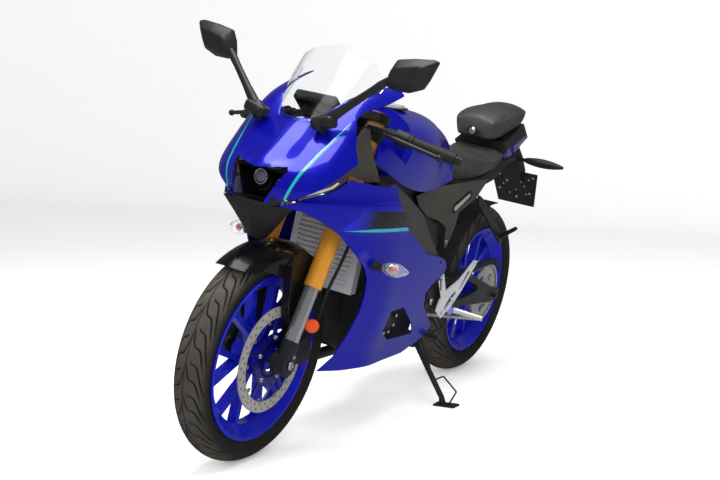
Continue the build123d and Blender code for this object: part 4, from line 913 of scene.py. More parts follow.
chin = bevelled(lofted(CHIN_LEVELS, lambda z, x, y: (x, y, z)), 0.0022)
on_bike("chin_wedge", chin, black_plastic, "chin")

# %% [markdown]
# ## Mirrors
# A mirror head is a faceted shell with a ridge from its neck to its outer tip. Its stalk is a rod
# that tapers ring by ring, and a knuckle with a rubber boot carries it on the cowl.

# %% Mirrors
MIRROR_REAR = (
    (236, 1058), (244, 1100), (258, 1128), (306, 1137), (354, 1142), (370, 1138), (351, 1090),
    (338, 1066), (300, 1051), (262, 1050),
)
MIRROR_RIDGE = (
    (250, 1072), (256, 1092), (268, 1106), (300, 1113), (330, 1120), (342, 1117), (330, 1096),
    (318, 1082), (294, 1071), (266, 1067),
)
MIRROR_LEVELS = ((-588, MIRROR_REAR), (-606, MIRROR_REAR), (-634, MIRROR_RIDGE))
MIRROR_NECK, STALK_FOOT = Vector((246, -612, 1074)), Vector((106, -655, 944))
STALK_RADII = (15, 14, 12.5, 11, 10.5, 10, 10, 11, 9)
KNUCKLE_AT, KNUCKLE_SIZE, KNUCKLE_TILT = Vector((105, -655, 941)), (0.066, 0.042, 0.032), radians(-14)
BOOT_FOOT, BOOT_TOP, BOOT_RADII = (88, -662, 928), (112, -650, 956), (19, 21, 20, 17, 16, 13)


def swollen_rod(start, end, radii, sides=20):
    """Round rod whose radius follows a list from end to end, extruded ring by ring from a circle."""
    start, end = Vector(start) * MM, Vector(end) * MM
    turn = (end - start).to_track_quat("Z", "Y").to_matrix().to_4x4()
    bm = bmesh.new()
    bmesh.ops.create_circle(bm, cap_ends=False, segments=sides, radius=radii[0] * MM)
    first = edges = list(bm.edges)
    step = (end - start).length / (len(radii) - 1)
    for before, after in zip(radii, radii[1:]):
        made = bmesh.ops.extrude_edge_only(bm, edges=edges)["geom"]
        edges = [g for g in made if isinstance(g, bmesh.types.BMEdge)]
        ring = [g for g in made if isinstance(g, bmesh.types.BMVert)]
        bmesh.ops.translate(bm, verts=ring, vec=(0, 0, step))
        middle_z = Matrix.Translation((0, 0, -ring[0].co.z))
        bmesh.ops.scale(bm, verts=ring, vec=(after / before, after / before, 1), space=middle_z)
    bmesh.ops.contextual_create(bm, geom=first)
    bmesh.ops.contextual_create(bm, geom=edges)
    bmesh.ops.recalc_face_normals(bm, faces=bm.faces)
    bm.transform(Matrix.Translation(start) @ turn)
    return bm


def joined(*parts):
    """One bmesh out of several."""
    whole = bmesh.new()
    for part in parts:
        mesh = bpy.data.meshes.new("part")
        part.to_mesh(mesh)
        part.free()
        whole.from_mesh(mesh)
        bpy.data.meshes.remove(mesh)
    return whole


# %% Mirror pair
head = bevelled(lofted(MIRROR_LEVELS, lambda y, x, z: (x, y, z)), 0.004, segments=3, angle=25)
stalk = swollen_rod(STALK_FOOT, MIRROR_NECK, STALK_RADII)
knuckle = bmesh.new()
knuckle_place = Matrix.Translation(KNUCKLE_AT * MM) @ Matrix.Rotation(KNUCKLE_TILT, 4, "Y")
knuckle_size = Matrix.Diagonal((*KNUCKLE_SIZE, 1))
bmesh.ops.create_cube(knuckle, size=1, matrix=knuckle_place @ knuckle_size)
bevelled(knuckle, 0.011, segments=4)
boot = swollen_rod(BOOT_FOOT, BOOT_TOP, BOOT_RADII)
mirror_black = finish(
    "mirror_black", (0.009, 0.009, 0.01), (0.013, 0.013, 0.014), rough=(0.36, 0.46), grain_size=900,
    depth=0.0001, specular_ior_level=0.3,
)
on_bike("mirror_pair", both_sides(joined(head, stalk, knuckle, boot)), mirror_black, "mirrors")

# %% [markdown]
# ## Front signals
# Clear teardrop lenses stand on short rubber stalks. Through the glass show an amber bulb and the
# bright reflector behind it. Each lens is a stretched sphere with a smaller one inside.

# %% Front signals
SIGNAL_AT, SIGNAL_SIZE, SIGNAL_TIP, SIGNAL_SWEEP = (262, -434, 567), (20, 40, 20), 0.5, -74
BULB_AT, BULB_SIZE = (258, -436, 567), (11, 14, 11)
BOWL_AT, BOWL_SIZE = (246, -428, 567), (15, 20, 15)
STALK_FROM, STALK_TO = (200, -446, 566), (232, -441, 567)


def egg(at, size, turn_z=0.0, tip=0.0):
    """Rounded lens form: a sphere scaled on three axes, which can be drawn to a tip at one end."""
    bm = bmesh.new()
    bmesh.ops.create_uvsphere(bm, u_segments=32, v_segments=20, radius=1.0)
    for v in bm.verts:
        v.co.x *= 1 - tip * max(v.co.y, 0) ** 2
        v.co.z *= 1 - tip * max(v.co.y, 0) ** 2
    place = Matrix.Translation(Vector(at) * MM) @ Matrix.Rotation(radians(turn_z), 4, "Z")
    bm.transform(place @ Matrix.Diagonal((*(c * MM for c in size), 1)))
    return bm


def lens_shell(at, size, turn_z, tip, wall=1.6):
    """Hollow lens: an outer egg with a smaller one, turned inside out, within it."""
    outer = egg(at, size, turn_z, tip)
    inner = egg(at, [c - wall for c in size], turn_z, tip)
    bmesh.ops.reverse_faces(inner, faces=inner.faces)
    return joined(outer, inner)


def on_each_side(make):
    """The piece that make(side) gives for the left side, 1, and the right side, -1, as one."""
    return joined(make(1), make(-1))


def across(point, side):
    """A point of the left side, 1, or its mirror image on the right side, -1."""
    return Vector((point[0] * side, point[1], point[2]))


def signal_lens(side):
    """One signal's hollow lens."""
    return lens_shell(across(SIGNAL_AT, side), SIGNAL_SIZE, SIGNAL_SWEEP * side, SIGNAL_TIP)


# %% Signal pair
on_bike("front_signal_lenses", on_each_side(signal_lens), lamp_glass, "front_signals")
bulbs = on_each_side(lambda side: egg(across(BULB_AT, side), BULB_SIZE, SIGNAL_SWEEP * side))
reflectors = on_each_side(lambda side: egg(across(BOWL_AT, side), BOWL_SIZE, SIGNAL_SWEEP * side))
added("front_signal_reflectors", reflectors, chrome, "front_signals")
added("front_signal_bulbs", bulbs, amber_lens, "front_signals")
signal_stalk = both_sides(swollen_rod(STALK_FROM, STALK_TO, (13, 11, 9, 11)))
added("front_signal_stalks", signal_stalk, rubber, "front_signals")

# %% [markdown]
# ## Windscreen
# A clear sheet, curved both ways. It could be bent from a flat sheet, but a cage of slices from low
# to high follows the real bulge. It is thickened, and trimmed to its outline seen from ahead.

# %% Windscreen
# low to high: z, half width, y at the middle, y at the ends
SCREEN_ROWS = (
    (915, 66, -652, -632), (955, 98, -618, -560), (1010, 130, -570, -465), (1060, 140, -528, -410),
    (1105, 134, -489, -386), (1146, 122, -453, -368),
)
SCREEN_EDGE = (
    (-116, 1094), (-70, 1120), (0, 1134), (70, 1120), (116, 1094), (150, 1030), (124, 976),
    (60, 938), (0, 930), (-60, 938), (-124, 976), (-150, 1030),
)
SCREEN_DEPTH = (-720, -300)
SCREEN_SHARES = (-1, -0.8, -0.5, -0.2, 0.2, 0.5, 0.8, 1)
SCREEN_ARC, SCREEN_SWEEP = radians(80), 2.2


def screen_cage():
    """The windscreen's cage, with slices that bend back towards their ends."""
    rows = []
    for z, half, mid, end in SCREEN_ROWS:
        widths = [half * sin(SCREEN_ARC * t) / sin(SCREEN_ARC) for t in SCREEN_SHARES]
        depths = [mid + (end - mid) * abs(t) ** SCREEN_SWEEP for t in SCREEN_SHARES]
        rows.append([(x, y, z) for x, y in zip(widths, depths)])
    bm = grow_cage(rows)
    fit_cage(bm)
    point_out(bm, (0, -1, 0.4))
    return bm


screen = skin_piece(screen_cage(), PANEL_WALL, prism(SCREEN_EDGE, "Y", *SCREEN_DEPTH))
on_bike("clear_screen", screen, screen_clear, "windscreen")

# %% [markdown]
# ## Tyres
# A tyre is one profile spun round the axle. Its crown is an arc, and its sidewalls run in to the
# rim's lips. The tread is cut into the spun mesh: a fine line round the middle, and long sipes
# that leave it and sweep back to the shoulder in an S, with their ends fading out. An attribute
# named worn marks the running surface, where the rubber is greyer than in the sipes and on the
# sidewalls.

# %% Tyre form
RIM_LIP, RIM_SEAT = 231.0, 216.0
CROWN_STEPS, TYRE_STEPS = 26, 900


def tyre_profile(radius, half, crown_r, bead):
    """Outer half profile from the crown to the bead, as (x, radius)."""
    edge = asin(half / crown_r)
    turns = [edge * k / CROWN_STEPS for k in range(CROWN_STEPS + 1)]
    crown = [(crown_r * sin(a), radius - crown_r + crown_r * cos(a)) for a in turns]
    shoulder = crown[-1][1]
    wall = [
        (half - 1, shoulder - 9),
        ((half + bead) / 2 + 3, (RIM_LIP + shoulder) / 2 - 3),
        (bead + 2.5, RIM_LIP + 7),
        (bead + 1.5, RIM_LIP + 1),
        (bead - 2, RIM_SEAT),
    ]
    return crown + wall


# %% Tread cut
LINE_HALF_WIDTH, LINE_DEPTH = 0.9, 1.6
# start round the wheel in pitches, inner end and outer end as shares of the half width, depth
SIPE_KINDS = ((0.0, 0.03, 0.86, 4.0), (0.5, 0.22, 0.99, 3.6))
SIPE_SWEEP, SIPE_WAVE, SIPE_WAVE_RATE = 1.05, 0.13, 7.5
FADE_INNER, FADE_OUTER = 9, 7
SIPE_HALF_WIDTH, SIPE_WIDENING = 1.7, 0.6
RIGHT_SIDE_SHIFT = 0.25
MEAN_RADIUS = 290


def sipe_depth(x, turn, half, count, reach):
    """How deep the tread is cut at a place across the crown and round the wheel."""
    share = abs(x) / half
    if abs(x) < LINE_HALF_WIDTH:
        return LINE_DEPTH
    other_side = RIGHT_SIDE_SHIFT if x < 0 else 0
    depth = 0.0
    for start, low, high, weight in SIPE_KINDS:
        if not low < share < high:
            continue
        sweep = SIPE_SWEEP * share + SIPE_WAVE * sin(share * SIPE_WAVE_RATE)
        steepness = SIPE_SWEEP + SIPE_WAVE * SIPE_WAVE_RATE * cos(share * SIPE_WAVE_RATE)
        slant = steepness * reach * 2 * pi / count * MEAN_RADIUS / half
        phase = (turn * count / (2 * pi) + start + sweep * reach + other_side) % 1.0
        away = min(phase, 1 - phase) * 2 * pi / count * MEAN_RADIUS / hypot(1, slant)
        fade = min(1, (share - low) * FADE_INNER, (high - share) * FADE_OUTER)
        width = SIPE_HALF_WIDTH + SIPE_WIDENING * (1 - share)
        if away < width:
            depth = max(depth, weight * fade * (1 - (away / width) ** 3))
    return depth


# %% Spun tyres
WORN_DEPTH, WORN_EDGE, WORN_SOFTNESS = 1.2, 1.04, 4
UNWORN_BLACK = (0.009, 0.0085, 0.008)


def spun_tyre(radius, half, crown_r, bead, axle, count, reach):
    """Tyre spun round its axle, with its tread cut into the crown and the worn attribute set."""
    bm = bmesh.new()
    line = tyre_profile(radius, half, crown_r, bead)
    points = [(-x, r) for x, r in reversed(line[1:])] + line
    verts = [bm.verts.new(Vector((x, 0, r)) * MM) for x, r in points]
    edges = [bm.edges.new(pair) for pair in zip(verts, verts[1:])]
    edges.append(bm.edges.new((verts[-1], verts[0])))
    bmesh.ops.spin(
        bm, geom=[*verts, *edges], cent=(0, 0, 0), axis=(1, 0, 0),
        angle=2 * pi, steps=TYRE_STEPS, use_merge=True,
    )
    bmesh.ops.remove_doubles(bm, verts=bm.verts, dist=0.00002)
    bmesh.ops.recalc_face_normals(bm, faces=bm.faces)
    worn = bm.verts.layers.float.new("worn")
    crown_from = radius - crown_r + crown_r * cos(asin(half / crown_r)) - 1
    flatter = crown_r / radius
    for v in bm.verts:
        x, r, turn = v.co.x / MM, hypot(v.co.y, v.co.z) / MM, atan2(v.co.y, v.co.z)
        if r > crown_from:
            cut = sipe_depth(x, turn, half, count, reach)
            near_edge = min(1.0, (WORN_EDGE - abs(x) / half) * WORN_SOFTNESS)
            v[worn] = max(0.0, 1 - cut / WORN_DEPTH) * near_edge
            if cut:
                out = Vector((x, v.co.y / MM * flatter, v.co.z / MM * flatter)).normalized()
                v.co -= out * cut * MM
    bmesh.ops.translate(bm, verts=bm.verts, vec=axle)
    return bm


tree = tyre_rubber.node_tree
tread_only = tree.nodes.new("ShaderNodeAttribute")
tread_only.attribute_name = "worn"
rubber_tone = tree.nodes["Principled BSDF"].inputs["Base Color"]
worn_tone = rubber_tone.links[0].from_socket
tree.links.new(mixed(tree, tread_only.outputs["Fac"], UNWORN_BLACK, worn_tone), rubber_tone)
front = spun_tyre(radius=296, half=50, crown_r=58, bead=35, axle=FRONT_AXLE, count=22, reach=1.5)
on_bike("front_tread", front, tyre_rubber, "front_tyre", sharp=40)
rear = spun_tyre(radius=314, half=70, crown_r=74, bead=47.5, axle=REAR_AXLE, count=20, reach=1.7)
on_bike("rear_tread", rear, tyre_rubber, "rear_tyre", sharp=40)

# %% [markdown]
# ## Brake discs and hub details
# The disc's band is ground steel, and its carrier is painted. Both lie in one CAD node, so a second
# material goes on the faces near the axle. Rivets hold band and carrier together.

# %% Discs
FRONT_CARRIER, REAR_CARRIER = 0.1145, 0.076
carrier_blue = finish(
    "carrier_blue", (0.004, 0.004, 0.16), (0.003, 0.003, 0.12), rough=(0.25, 0.3), metal=0.4,
    coat=0.6,
)
brass = finish("brass_rivets", (0.62, 0.55, 0.36), (0.55, 0.48, 0.3), rough=(0.25, 0.32), metal=1.0)


def second_material(piece, material, chosen):
    """Gives the faces whose upright centre is chosen a second material."""
    piece.data.materials.append(material)
    for face in piece.data.polygons:
        if chosen(UPRIGHT @ face.center):
            face.material_index = 1


def within(axle, radius):
    """Test for the points that lie nearer to an axle than a radius."""
    return lambda p: hypot(p.y - axle.y, p.z - axle.z) < radius


second_material(shown["front_disc"], carrier_blue, within(FRONT_AXLE, FRONT_CARRIER))
second_material(shown["rear_disc"], black_metal, within(REAR_AXLE, REAR_CARRIER))
print("disc carriers painted")

# %% Buttons and rings


def aimed(at, way):
    """Matrix that stands a piece at a point in mm with its z axis along a direction."""
    turn = Vector(way).to_track_quat("Z", "Y").to_matrix().to_4x4()
    return Matrix.Translation(Vector(at) * MM) @ turn


def button(at, way, radius, height, hollow=0.0, sides=14):
    """Low round head, domed at its rim, with an optional socket, standing on a surface."""
    bm = bmesh.new()
    bmesh.ops.create_circle(bm, cap_ends=True, segments=sides, radius=radius * MM)
    face = bm.faces[:][0]
    for share, rise in ((1.0, height * 0.6), (0.8, height * 0.4)):
        made = bmesh.ops.extrude_face_region(bm, geom=[face])["geom"]
        face = [g for g in made if isinstance(g, bmesh.types.BMFace)][0]
        bmesh.ops.translate(bm, verts=face.verts, vec=(0, 0, rise * MM))
        centre = Matrix.Translation((0, 0, -face.verts[0].co.z))
        bmesh.ops.scale(bm, verts=face.verts, vec=(share, share, 1), space=centre)
    if hollow:
        bmesh.ops.inset_region(bm, faces=[face], thickness=(0.8 * radius - hollow) * MM)
        made = bmesh.ops.extrude_face_region(bm, geom=[face])["geom"]
        floor_face = [g for g in made if isinstance(g, bmesh.types.BMFace)][0]
        bmesh.ops.translate(bm, verts=floor_face.verts, vec=(0, 0, -height * 0.6 * MM))
    bmesh.ops.recalc_face_normals(bm, faces=bm.faces)
    bm.transform(aimed(at, way))
    return bm


def ring_of(count, radius, x, axle, make, start=0.0):
    """Copies of a small piece in a ring round an axle."""
    parts = []
    for k in range(count):
        a = 2 * pi * k / count + start
        parts.append(make((x, axle.y / MM + radius * cos(a), axle.z / MM + radius * sin(a))))
    return joined(*parts)


def sensor_tooth(at):
    """Short peg that stands through the sensor ring."""
    return swollen_rod((at[0] - 1, at[1], at[2]), (at[0] + 1, at[1], at[2]), (2.6, 2.6), sides=8)


# %% Rivets, hub bolts and sensor ring
DISC_FACE, SENSOR_X, HUB_LEFT, HUB_RIGHT = 60.2, 62.5, 87.2, -80.2
rivets = ring_of(10, 112, DISC_FACE, FRONT_AXLE, lambda at: button(at, LEFT, 6.5, 2.2, 2.5))
added("disc_rivets", rivets, brass, "front_disc")
carrier_bolts = ring_of(5, 62, DISC_FACE, FRONT_AXLE, lambda at: button(at, LEFT, 6.5, 5, 3), start=0.3)
added("carrier_bolts", carrier_bolts, chrome, "front_disc")
rear_bolts = joined(
    ring_of(5, 54, HUB_RIGHT, REAR_AXLE, lambda at: button(at, RIGHT, 6, 5, 3)),
    ring_of(5, 58, HUB_LEFT, REAR_AXLE, lambda at: button(at, LEFT, 6.5, 5, 3)),
)
added("rear_hub_bolts", rear_bolts, chrome, "rear_rim")
sensor_ring = ring_of(36, 47, SENSOR_X, FRONT_AXLE, sensor_tooth)
added("sensor_ring_teeth", sensor_ring, black_gloss, "front_rim")

# %% [markdown]
# ## Fasteners
# Socket bolts sit where the real ones clamp or hold a panel. Each is a low domed head with a hollow,
# and those of one body are joined to one piece.

# %% Fasteners
SOCKET_SHARE = 0.45
FORK_BOLTS = (
    ((117, -648, 316), LEFT, 6), ((121.5, -662.5, 296), LEFT, 12), ((-121.5, -662.5, 296), RIGHT, 12),
)
TAB_BOLTS = (
    ((121, 182, 556), 5.5), ((143, 140, 448), 6), ((143, 190, 322), 6), ((143, 404, 466), 4),
    ((132, 122, 365), 11),
)
fork_bolts = joined(*[button(at, way, size, 4, size * SOCKET_SHARE) for at, way, size in FORK_BOLTS])
added("fork_bolts", fork_bolts, chrome, "fork_bottoms")
frame_bolts = joined(*[
    button(across(at, side), (side, 0, 0), size, 3.5, size * SOCKET_SHARE)
    for at, size in TAB_BOLTS for side in (-1, 1)
])
added("frame_bolts", frame_bolts, chrome, "frame")

# %% [markdown]
# ## Fork reflector
# A round orange reflector in a black rim stands on the guard beside each leg.

# %% Fork reflector
REFLECTOR_AT, REFLECTOR_WAY = (108, -562, 387), (0.55, -0.83, 0)
CUP_BACK, CUP_FRONT, CUP_RADII = (102, -553, 387), (107.5, -561.3, 387), (12, 20.5, 20.8)


def reflector_face(side):
    """Low orange disc that looks forward and outward."""
    return button(across(REFLECTOR_AT, side), across(REFLECTOR_WAY, side), 19, 4, sides=36)


def reflector_cup(side):
    """Black cup that holds the disc."""
    return swollen_rod(across(CUP_BACK, side), across(CUP_FRONT, side), CUP_RADII, sides=36)


added("fork_reflectors", on_each_side(reflector_face), amber_lens, "fork_outer_tubes")
rim_ring = on_each_side(reflector_cup)
added("fork_reflector_rims", rim_ring, black_plastic, "fork_outer_tubes")

# %% [markdown]
# ## Headlamp
# Behind the nose opening sits one projector: a black barrel, a silver ring and a domed lens that
# looks grey against the dark behind it. The ring is a small circle spun about the lamp's axis.

# %% Headlamp
BARREL_BACK, BARREL_FRONT, BARREL_RADII = (0, -720, 783), (0, -748, 785), (25, 24, 22, 21)
RING_AT, LAMP_WAY, LENS_AT, LENS_SIZE = (0, -747, 785), (0, -1, 0.06), (0, -744, 785), (18, 9, 18)
barrel = swollen_rod(BARREL_BACK, BARREL_FRONT, BARREL_RADII, sides=40)
added("projector_barrel", barrel, black_gloss, "headlight")


def hoop(at, way, radius, thick, sides=48):
    """Round ring: a small circle spun about an axis."""
    bm = bmesh.new()
    place = Matrix.Translation((radius * MM, 0, 0)) @ Matrix.Rotation(radians(90), 4, "X")
    bmesh.ops.create_circle(bm, segments=12, radius=thick * MM, matrix=place)
    bmesh.ops.spin(
        bm, geom=[*bm.verts, *bm.edges], cent=(0, 0, 0), axis=(0, 0, 1),
        angle=2 * pi, steps=sides, use_merge=True,
    )
    bmesh.ops.remove_doubles(bm, verts=bm.verts, dist=0.00001)
    bmesh.ops.recalc_face_normals(bm, faces=bm.faces)
    bm.transform(aimed(at, way))
    return bm


added("projector_ring", hoop(RING_AT, LAMP_WAY, 19, 1.6), chrome, "headlight")
lens_grey = finish(
    "lens_grey", (0.12, 0.13, 0.15), (0.05, 0.055, 0.07), rough=(0.04, 0.08), metal=0.4, coat=1.0,
    cloud_size=30,
)
added("projector_lens", egg(LENS_AT, LENS_SIZE), lens_grey, "headlight")

# %% [markdown]
# ## Seats
# Both seats are foam under a stretched cover. The CAD solid gives the form. It is remeshed evenly,
# puffed out a little by a cloth simulation, and held back so that it stays on its base. A plain
# bevel would look hard, because a stretched cover swells most in the middle.

# %% Padding
VOXEL, PUFF, FRAMES = 0.006, 0.006, 20
COVER_PRESSURE = 4


def padded(node, name, shrink=0.003):
    """Cushion grown from a CAD solid: shrunk, remeshed, and swollen by a capped cloth simulation."""
    bm = merged_copy(node)
    bmesh.ops.recalc_face_normals(bm, faces=bm.faces)
    bm.normal_update()
    work = loose_object(name, bm)
    bpy.context.view_layer.objects.active = work
    remesh = work.modifiers.new("even", "REMESH")
    remesh.mode, remesh.voxel_size = "VOXEL", VOXEL
    soften = work.modifiers.new("soften", "SMOOTH")
    soften.factor, soften.iterations = 0.5, 4
    mesh = evaluated_mesh(work)
    work.modifiers.clear()
    work.data = mesh
    start = [v.co.copy() - v.normal * shrink for v in mesh.vertices]
    for v, co in zip(mesh.vertices, start):
        v.co = co
    cloth = work.modifiers.new("cloth", "CLOTH")
    cloth.settings.use_pressure = True
    cloth.settings.uniform_pressure_force = COVER_PRESSURE
    cloth.settings.effector_weights.gravity = 0
    cloth.settings.quality = 5
    for frame_number in range(1, FRAMES + 1):
        bpy.context.scene.frame_set(frame_number)
    grown = evaluated_mesh(work)
    work.modifiers.clear()
    bpy.context.scene.frame_set(1)
    for v, co, g in zip(mesh.vertices, start, grown.vertices):
        moved = g.co - co
        v.co = co + (moved if moved.length < PUFF else moved.normalized() * PUFF)
    result = bmesh.new()
    result.from_mesh(work.data)
    bpy.data.objects.remove(work)
    bmesh.ops.smooth_vert(
        result, verts=result.verts, factor=0.5,
        use_axis_x=True, use_axis_y=True, use_axis_z=True,
    )
    piece = finished(name, result, seat_cover, NODE_BODY[node], 60)
    smooth = piece.modifiers.new("smooth", "SUBSURF")
    smooth.levels = smooth.render_levels = 1
    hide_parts(node)
    print(name, len(piece.data.polygons), "faces")
    return piece


padded("rider_seat", "rider_cushion")
padded("pillion_seat", "pillion_cushion")

# %% [markdown]
# ## Side cover slots
# A bright inlay in a black surround lies along each side cover. Both are thin prisms of their
# outlines, with a narrow bevel, and the inlay stands a little further out.

# %% Side cover slots
SIDE_SLOT = ((196, 660), (206, 657), (303, 697), (306, 706), (296, 708), (200, 671))
SLOT_ROOM = ((187, 650), (209, 647), (318, 692), (324, 713), (296, 719), (190, 678))
SLOT_FOOT, ROOM_FACE, SLOT_FACE = 119, 122.2, 124.5
rooms = bevelled(both_sides(prism(SLOT_ROOM, "X", SLOT_FOOT, ROOM_FACE)), 0.0008)
added("side_cover_rooms", rooms, black_gloss, "side_covers")
slots = bevelled(both_sides(prism(SIDE_SLOT, "X", SLOT_FOOT, SLOT_FACE)), 0.0012)
added("side_cover_slots", slots, disc_steel, "side_covers")

# %% [markdown]
# ## Foot plates
# The cast plates that carry the footrests are pierced to save weight. Their CAD copy already stands
# on the bike, so it is turned upright, cut with Boolean modifiers and leaned back. Their upper front
# part, by the frame, is made dark with the black metal finish.

# %% Foot plates
FOOT_SLOTS = (
    ((206, 332), (218, 326), (262, 352), (284, 372), (278, 384), (240, 366)),
    ((300, 386), (312, 384), (372, 432), (368, 444), (352, 440)),
    ((152, 400), (166, 400), (158, 440), (142, 446), (140, 436)),
)
PLATE_SPAN = (130, 160)
DARKENED_AHEAD_OF, DARKENED_ABOVE = 0.162, 0.385


def carved(piece, cutters, sharp=28.0):
    """Cuts prisms out of a piece that already stands on the bike."""
    bm = bmesh.new()
    bm.from_mesh(piece.data)
    bm.transform(UPRIGHT)
    bm = with_modifiers(bm, [boolean("DIFFERENCE", k) for k in range(len(cutters))], cutters)
    for edge in bm.edges:
        edge.smooth = edge.is_manifold and edge.calc_face_angle() < radians(sharp)
    bm.transform(PARK)
    bm.to_mesh(piece.data)
    bm.free()


carved(shown["footrests"], [prism(outline, "X", *PLATE_SPAN) for outline in FOOT_SLOTS])
# The plates' upper front faces are made dark with the black metal finish.
second_material(shown["footrests"], black_metal, lambda p: p.y < DARKENED_AHEAD_OF and p.z > DARKENED_ABOVE)
print("foot plates:", len(shown["footrests"].data.polygons), "faces")

# %% [markdown]
# ## Headlamp shell and inner panels
# The headlamp's shell is black inside the nose. The inner panels' upper front corners are drawn in
# a little, so that they lie clear of the running lights.

# %% Headlamp shell and inner panels
CORNER_LOW, CORNER_REAR, DRAWN_IN = 0.732, -0.6, 0.012
shown["headlight"].data.materials[0] = black_gloss
moved_corners = 0
for v in shown["inner_panels"].data.vertices:
    spot = UPRIGHT @ v.co
    if spot.z > CORNER_LOW and spot.y < CORNER_REAR:
        spot.x -= copysign(DRAWN_IN, spot.x)
        v.co = PARK @ spot
        moved_corners += 1
print("inner panels:", moved_corners, "points drawn in")

# %% [markdown]
# ## Tail
# The tail's painted edges are thin blades over a dark core. The CAD solid keeps its place, with the
# paint only on the faces that look outwards and not up.

# %% Tail
OUTWARD, UPWARD = 0.55, 0.3
tail = dressed("tail_cowl", black_plastic, sharp=25)
tail.data.materials.append(blue_paint)
stood_up = UPRIGHT.to_3x3()
for face in tail.data.polygons:
    way = stood_up @ face.normal
    if abs(way.x) > OUTWARD and way.z < UPWARD:
        face.material_index = 1
print("tail:", len(tail.data.polygons), "faces")

# %% [markdown]
# ## Plate hanger
# The number plate's carrier is a black sheet full of holes for other plates. Its holes are cut with
# a Boolean, and its bolts are joined in one piece.

# %% Plate hanger's own axes
HANGER_TOP, HANGER_LOW = Vector((0, 962, 740)), Vector((0, 1048, 604))
hanger_way = (HANGER_LOW - HANGER_TOP).normalized()
hanger_out = Vector((0, hanger_way.z, -hanger_way.y))


def on_hanger(across_mm, down_mm, out_mm=0.0):
    """A point on the carrier, by its distance from the middle, from the top and off the sheet."""
    return HANGER_TOP + Vector((across_mm, 0, 0)) + hanger_way * down_mm + hanger_out * out_mm


# %% Plate hanger
hanger = merged_copy("plate_hanger")
hanger.transform(UPRIGHT)
HOLES = ((-60, 34), (0, 30), (60, 34), (-48, 74), (40, 70), (-24, 112), (46, 106), (4, 92))
HOLE_REACH, HOLE_RADIUS = 16, 3.5
hole_tools = joined(*[
    swollen_rod(
        on_hanger(a, d, -HOLE_REACH), on_hanger(a, d, HOLE_REACH), (HOLE_RADIUS, HOLE_RADIUS), sides=12,
    )
    for a, d in HOLES
])
hanger = with_modifiers(hanger, [boolean("DIFFERENCE", 0)], [hole_tools])
on_bike("plate_hanger_sheet", hanger, black_plastic, "plate_hanger", sharp=30)
PLATE_BOLTS = ((-82, 16), (80, 18), (-30, 52), (30, 44), (62, 96), (-64, 96), (6, 122))
plate_bolts = joined(*[button(on_hanger(a, d, 3), hanger_out, 5.5, 4, 2.5) for a, d in PLATE_BOLTS])
plate_bolts_front = joined(*[button(on_hanger(a, d, -3), -hanger_out, 7.5, 6, 3.5) for a, d in PLATE_BOLTS])
added("plate_bolts", joined(plate_bolts, plate_bolts_front), chrome, "plate_hanger")

# %% [markdown]
# ## Seat lock
# A round key lock sits low in the blunt front of the passenger's pad.

# %% Seat lock
LOCK_AT, LOCK_WAY = (0, 507, 897), (0, -1, 0.12)
added("seat_lock", button(LOCK_AT, LOCK_WAY, 12, 5, 3), chrome, "tail_cowl")
added("seat_lock_cup", hoop(LOCK_AT, LOCK_WAY, 15, 4), black_plastic, "tail_cowl")

# %% [markdown]
# ## Engine cover
# Through the belly window the round generator cover shows, with its rim of small bolts. A bevelled
# slab stands for the side of the crankcase, and the cover on it steps inwards ring by ring.

# %% Engine cover
CRANKCASE = ((-330, 262), (-30, 262), (-4, 330), (-40, 420), (-330, 440))
CRANKCASE_SPAN = (60, 138)
COVER_AT, COVER_FACE = (136, -188, 362), (152, -188, 362)
COVER_AXLE, COVER_BOLT_X = Vector((0, -0.188, 0.362)), 143
cover = swollen_rod(COVER_AT, COVER_FACE, (56, 56, 54, 44, 40, 28), sides=48)
cover_bolts = ring_of(10, 48, COVER_BOLT_X, COVER_AXLE, lambda at: button(at, LEFT, 5, 5, 2.5, sides=10))
crankcase = bevelled(prism(CRANKCASE, "X", *CRANKCASE_SPAN), 0.006, segments=3)
added("crankcase_side", crankcase, engine_black, "engine")
added("generator_cover", bevelled(cover, 0.002, segments=2), black_metal, "engine")
added("generator_cover_bolts", cover_bolts, alloy, "engine")

# %% [markdown]
# ## Seat base
# The rider's cushion sits on a moulded black tray whose edge shows as a dark line above the side
# covers. It is lofted from a few rectangles.

# %% Seat base
# front to rear: y, half width, lower z, upper z
BASE_ROWS = (
    (140, 84, 716, 748), (260, 96, 712, 746), (400, 106, 716, 752), (540, 104, 744, 792),
    (640, 92, 778, 812),
)
rectangles = [
    (y, ((-half, low), (half, low), (half, high), (-half, high))) for y, half, low, high in BASE_ROWS
]
base = lofted(rectangles, lambda y, x, z: (x, y, z))
added("seat_base", bevelled(base, 0.004, segments=2), black_plastic, "subframe")

# %% [markdown]
# ## Side stand details
# A spring rod holds the stand open, and a bent wire loop lets a boot reach it. Their points are
# measured on the parked bike, so each piece is first turned back upright.

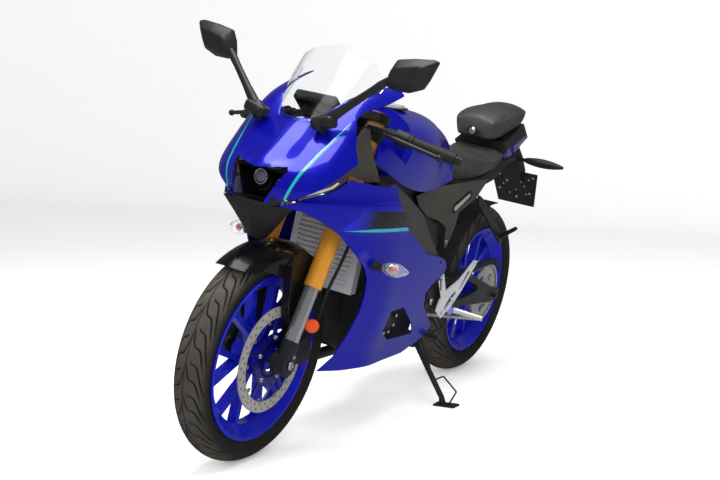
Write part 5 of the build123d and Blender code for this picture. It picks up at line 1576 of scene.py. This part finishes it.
# %% Side stand details
STAND_SPRING = ((-50, 124, 168), (-12, 114, 112), (10, 98, 86))
STAND_LOOP = ((14, 90, 76), (40, 112, 88), (84, 118, 40), (70, 96, 6))
spring = swollen_rod(STAND_SPRING[0], STAND_SPRING[1], (5, 6.5, 6.5, 6.5, 5))
hook = swollen_rod(STAND_SPRING[1], STAND_SPRING[2], (2.5, 2.5))
wire = joined(*[swollen_rod(a, b, (2.8, 2.8), sides=12) for a, b in zip(STAND_LOOP, STAND_LOOP[1:])])
STAND_PIECES = (
    ("stand_spring", spring, black_metal), ("stand_hook", hook, chrome), ("stand_loop", wire, black_metal),
)
for name, bm, paint in STAND_PIECES:
    bm.transform(UPRIGHT)
    added(name, bm, paint, "side_stand")

# %% [markdown]
# ## Chain pins
# The chain's band carries a pin head at every link. The path is two arcs joined by straight runs,
# and the heads stand one pitch apart on it.

# %% Chain pins
ARC_STEPS = 60
CHAIN_X, CHAIN_HALF, PITCH = 84, 7, 12.7
DRIVE, DRIVE_R, DRIVEN, DRIVEN_R = Vector((50, 356)), 28, Vector((662.5, 314)), 103.0


def chain_points():
    """Points (y, z) one pitch apart round the two sprockets."""
    run = DRIVEN - DRIVE
    along, tilt = atan2(run.y, run.x), asin((DRIVEN_R - DRIVE_R) / run.length)
    up, low = along + pi / 2 + tilt, along - pi / 2 - tilt
    arcs = [(DRIVE, DRIVE_R, up, low + 2 * pi), (DRIVEN, DRIVEN_R, low, up)]
    corners = [
        at + radius * Vector((cos(a), sin(a)))
        for at, radius, start, end in arcs
        for a in (start + (end - start) * k / ARC_STEPS for k in range(ARC_STEPS + 1))
    ]
    points, gone = [], 0.0
    for a, b in zip(corners, corners[1:] + corners[:1]):
        length = (b - a).length
        while gone < length:
            points.append(a.lerp(b, gone / length))
            gone += PITCH
        gone -= length
    return points


pins = [
    button((CHAIN_X + side * CHAIN_HALF, y, z), (side, 0, 0), 3.4, 1.2, 1.6, sides=8)
    for y, z in chain_points() for side in (-1, 1)
]
print("chain pins:", len(pins))
added("chain_pins", joined(*pins), alloy, "chain")
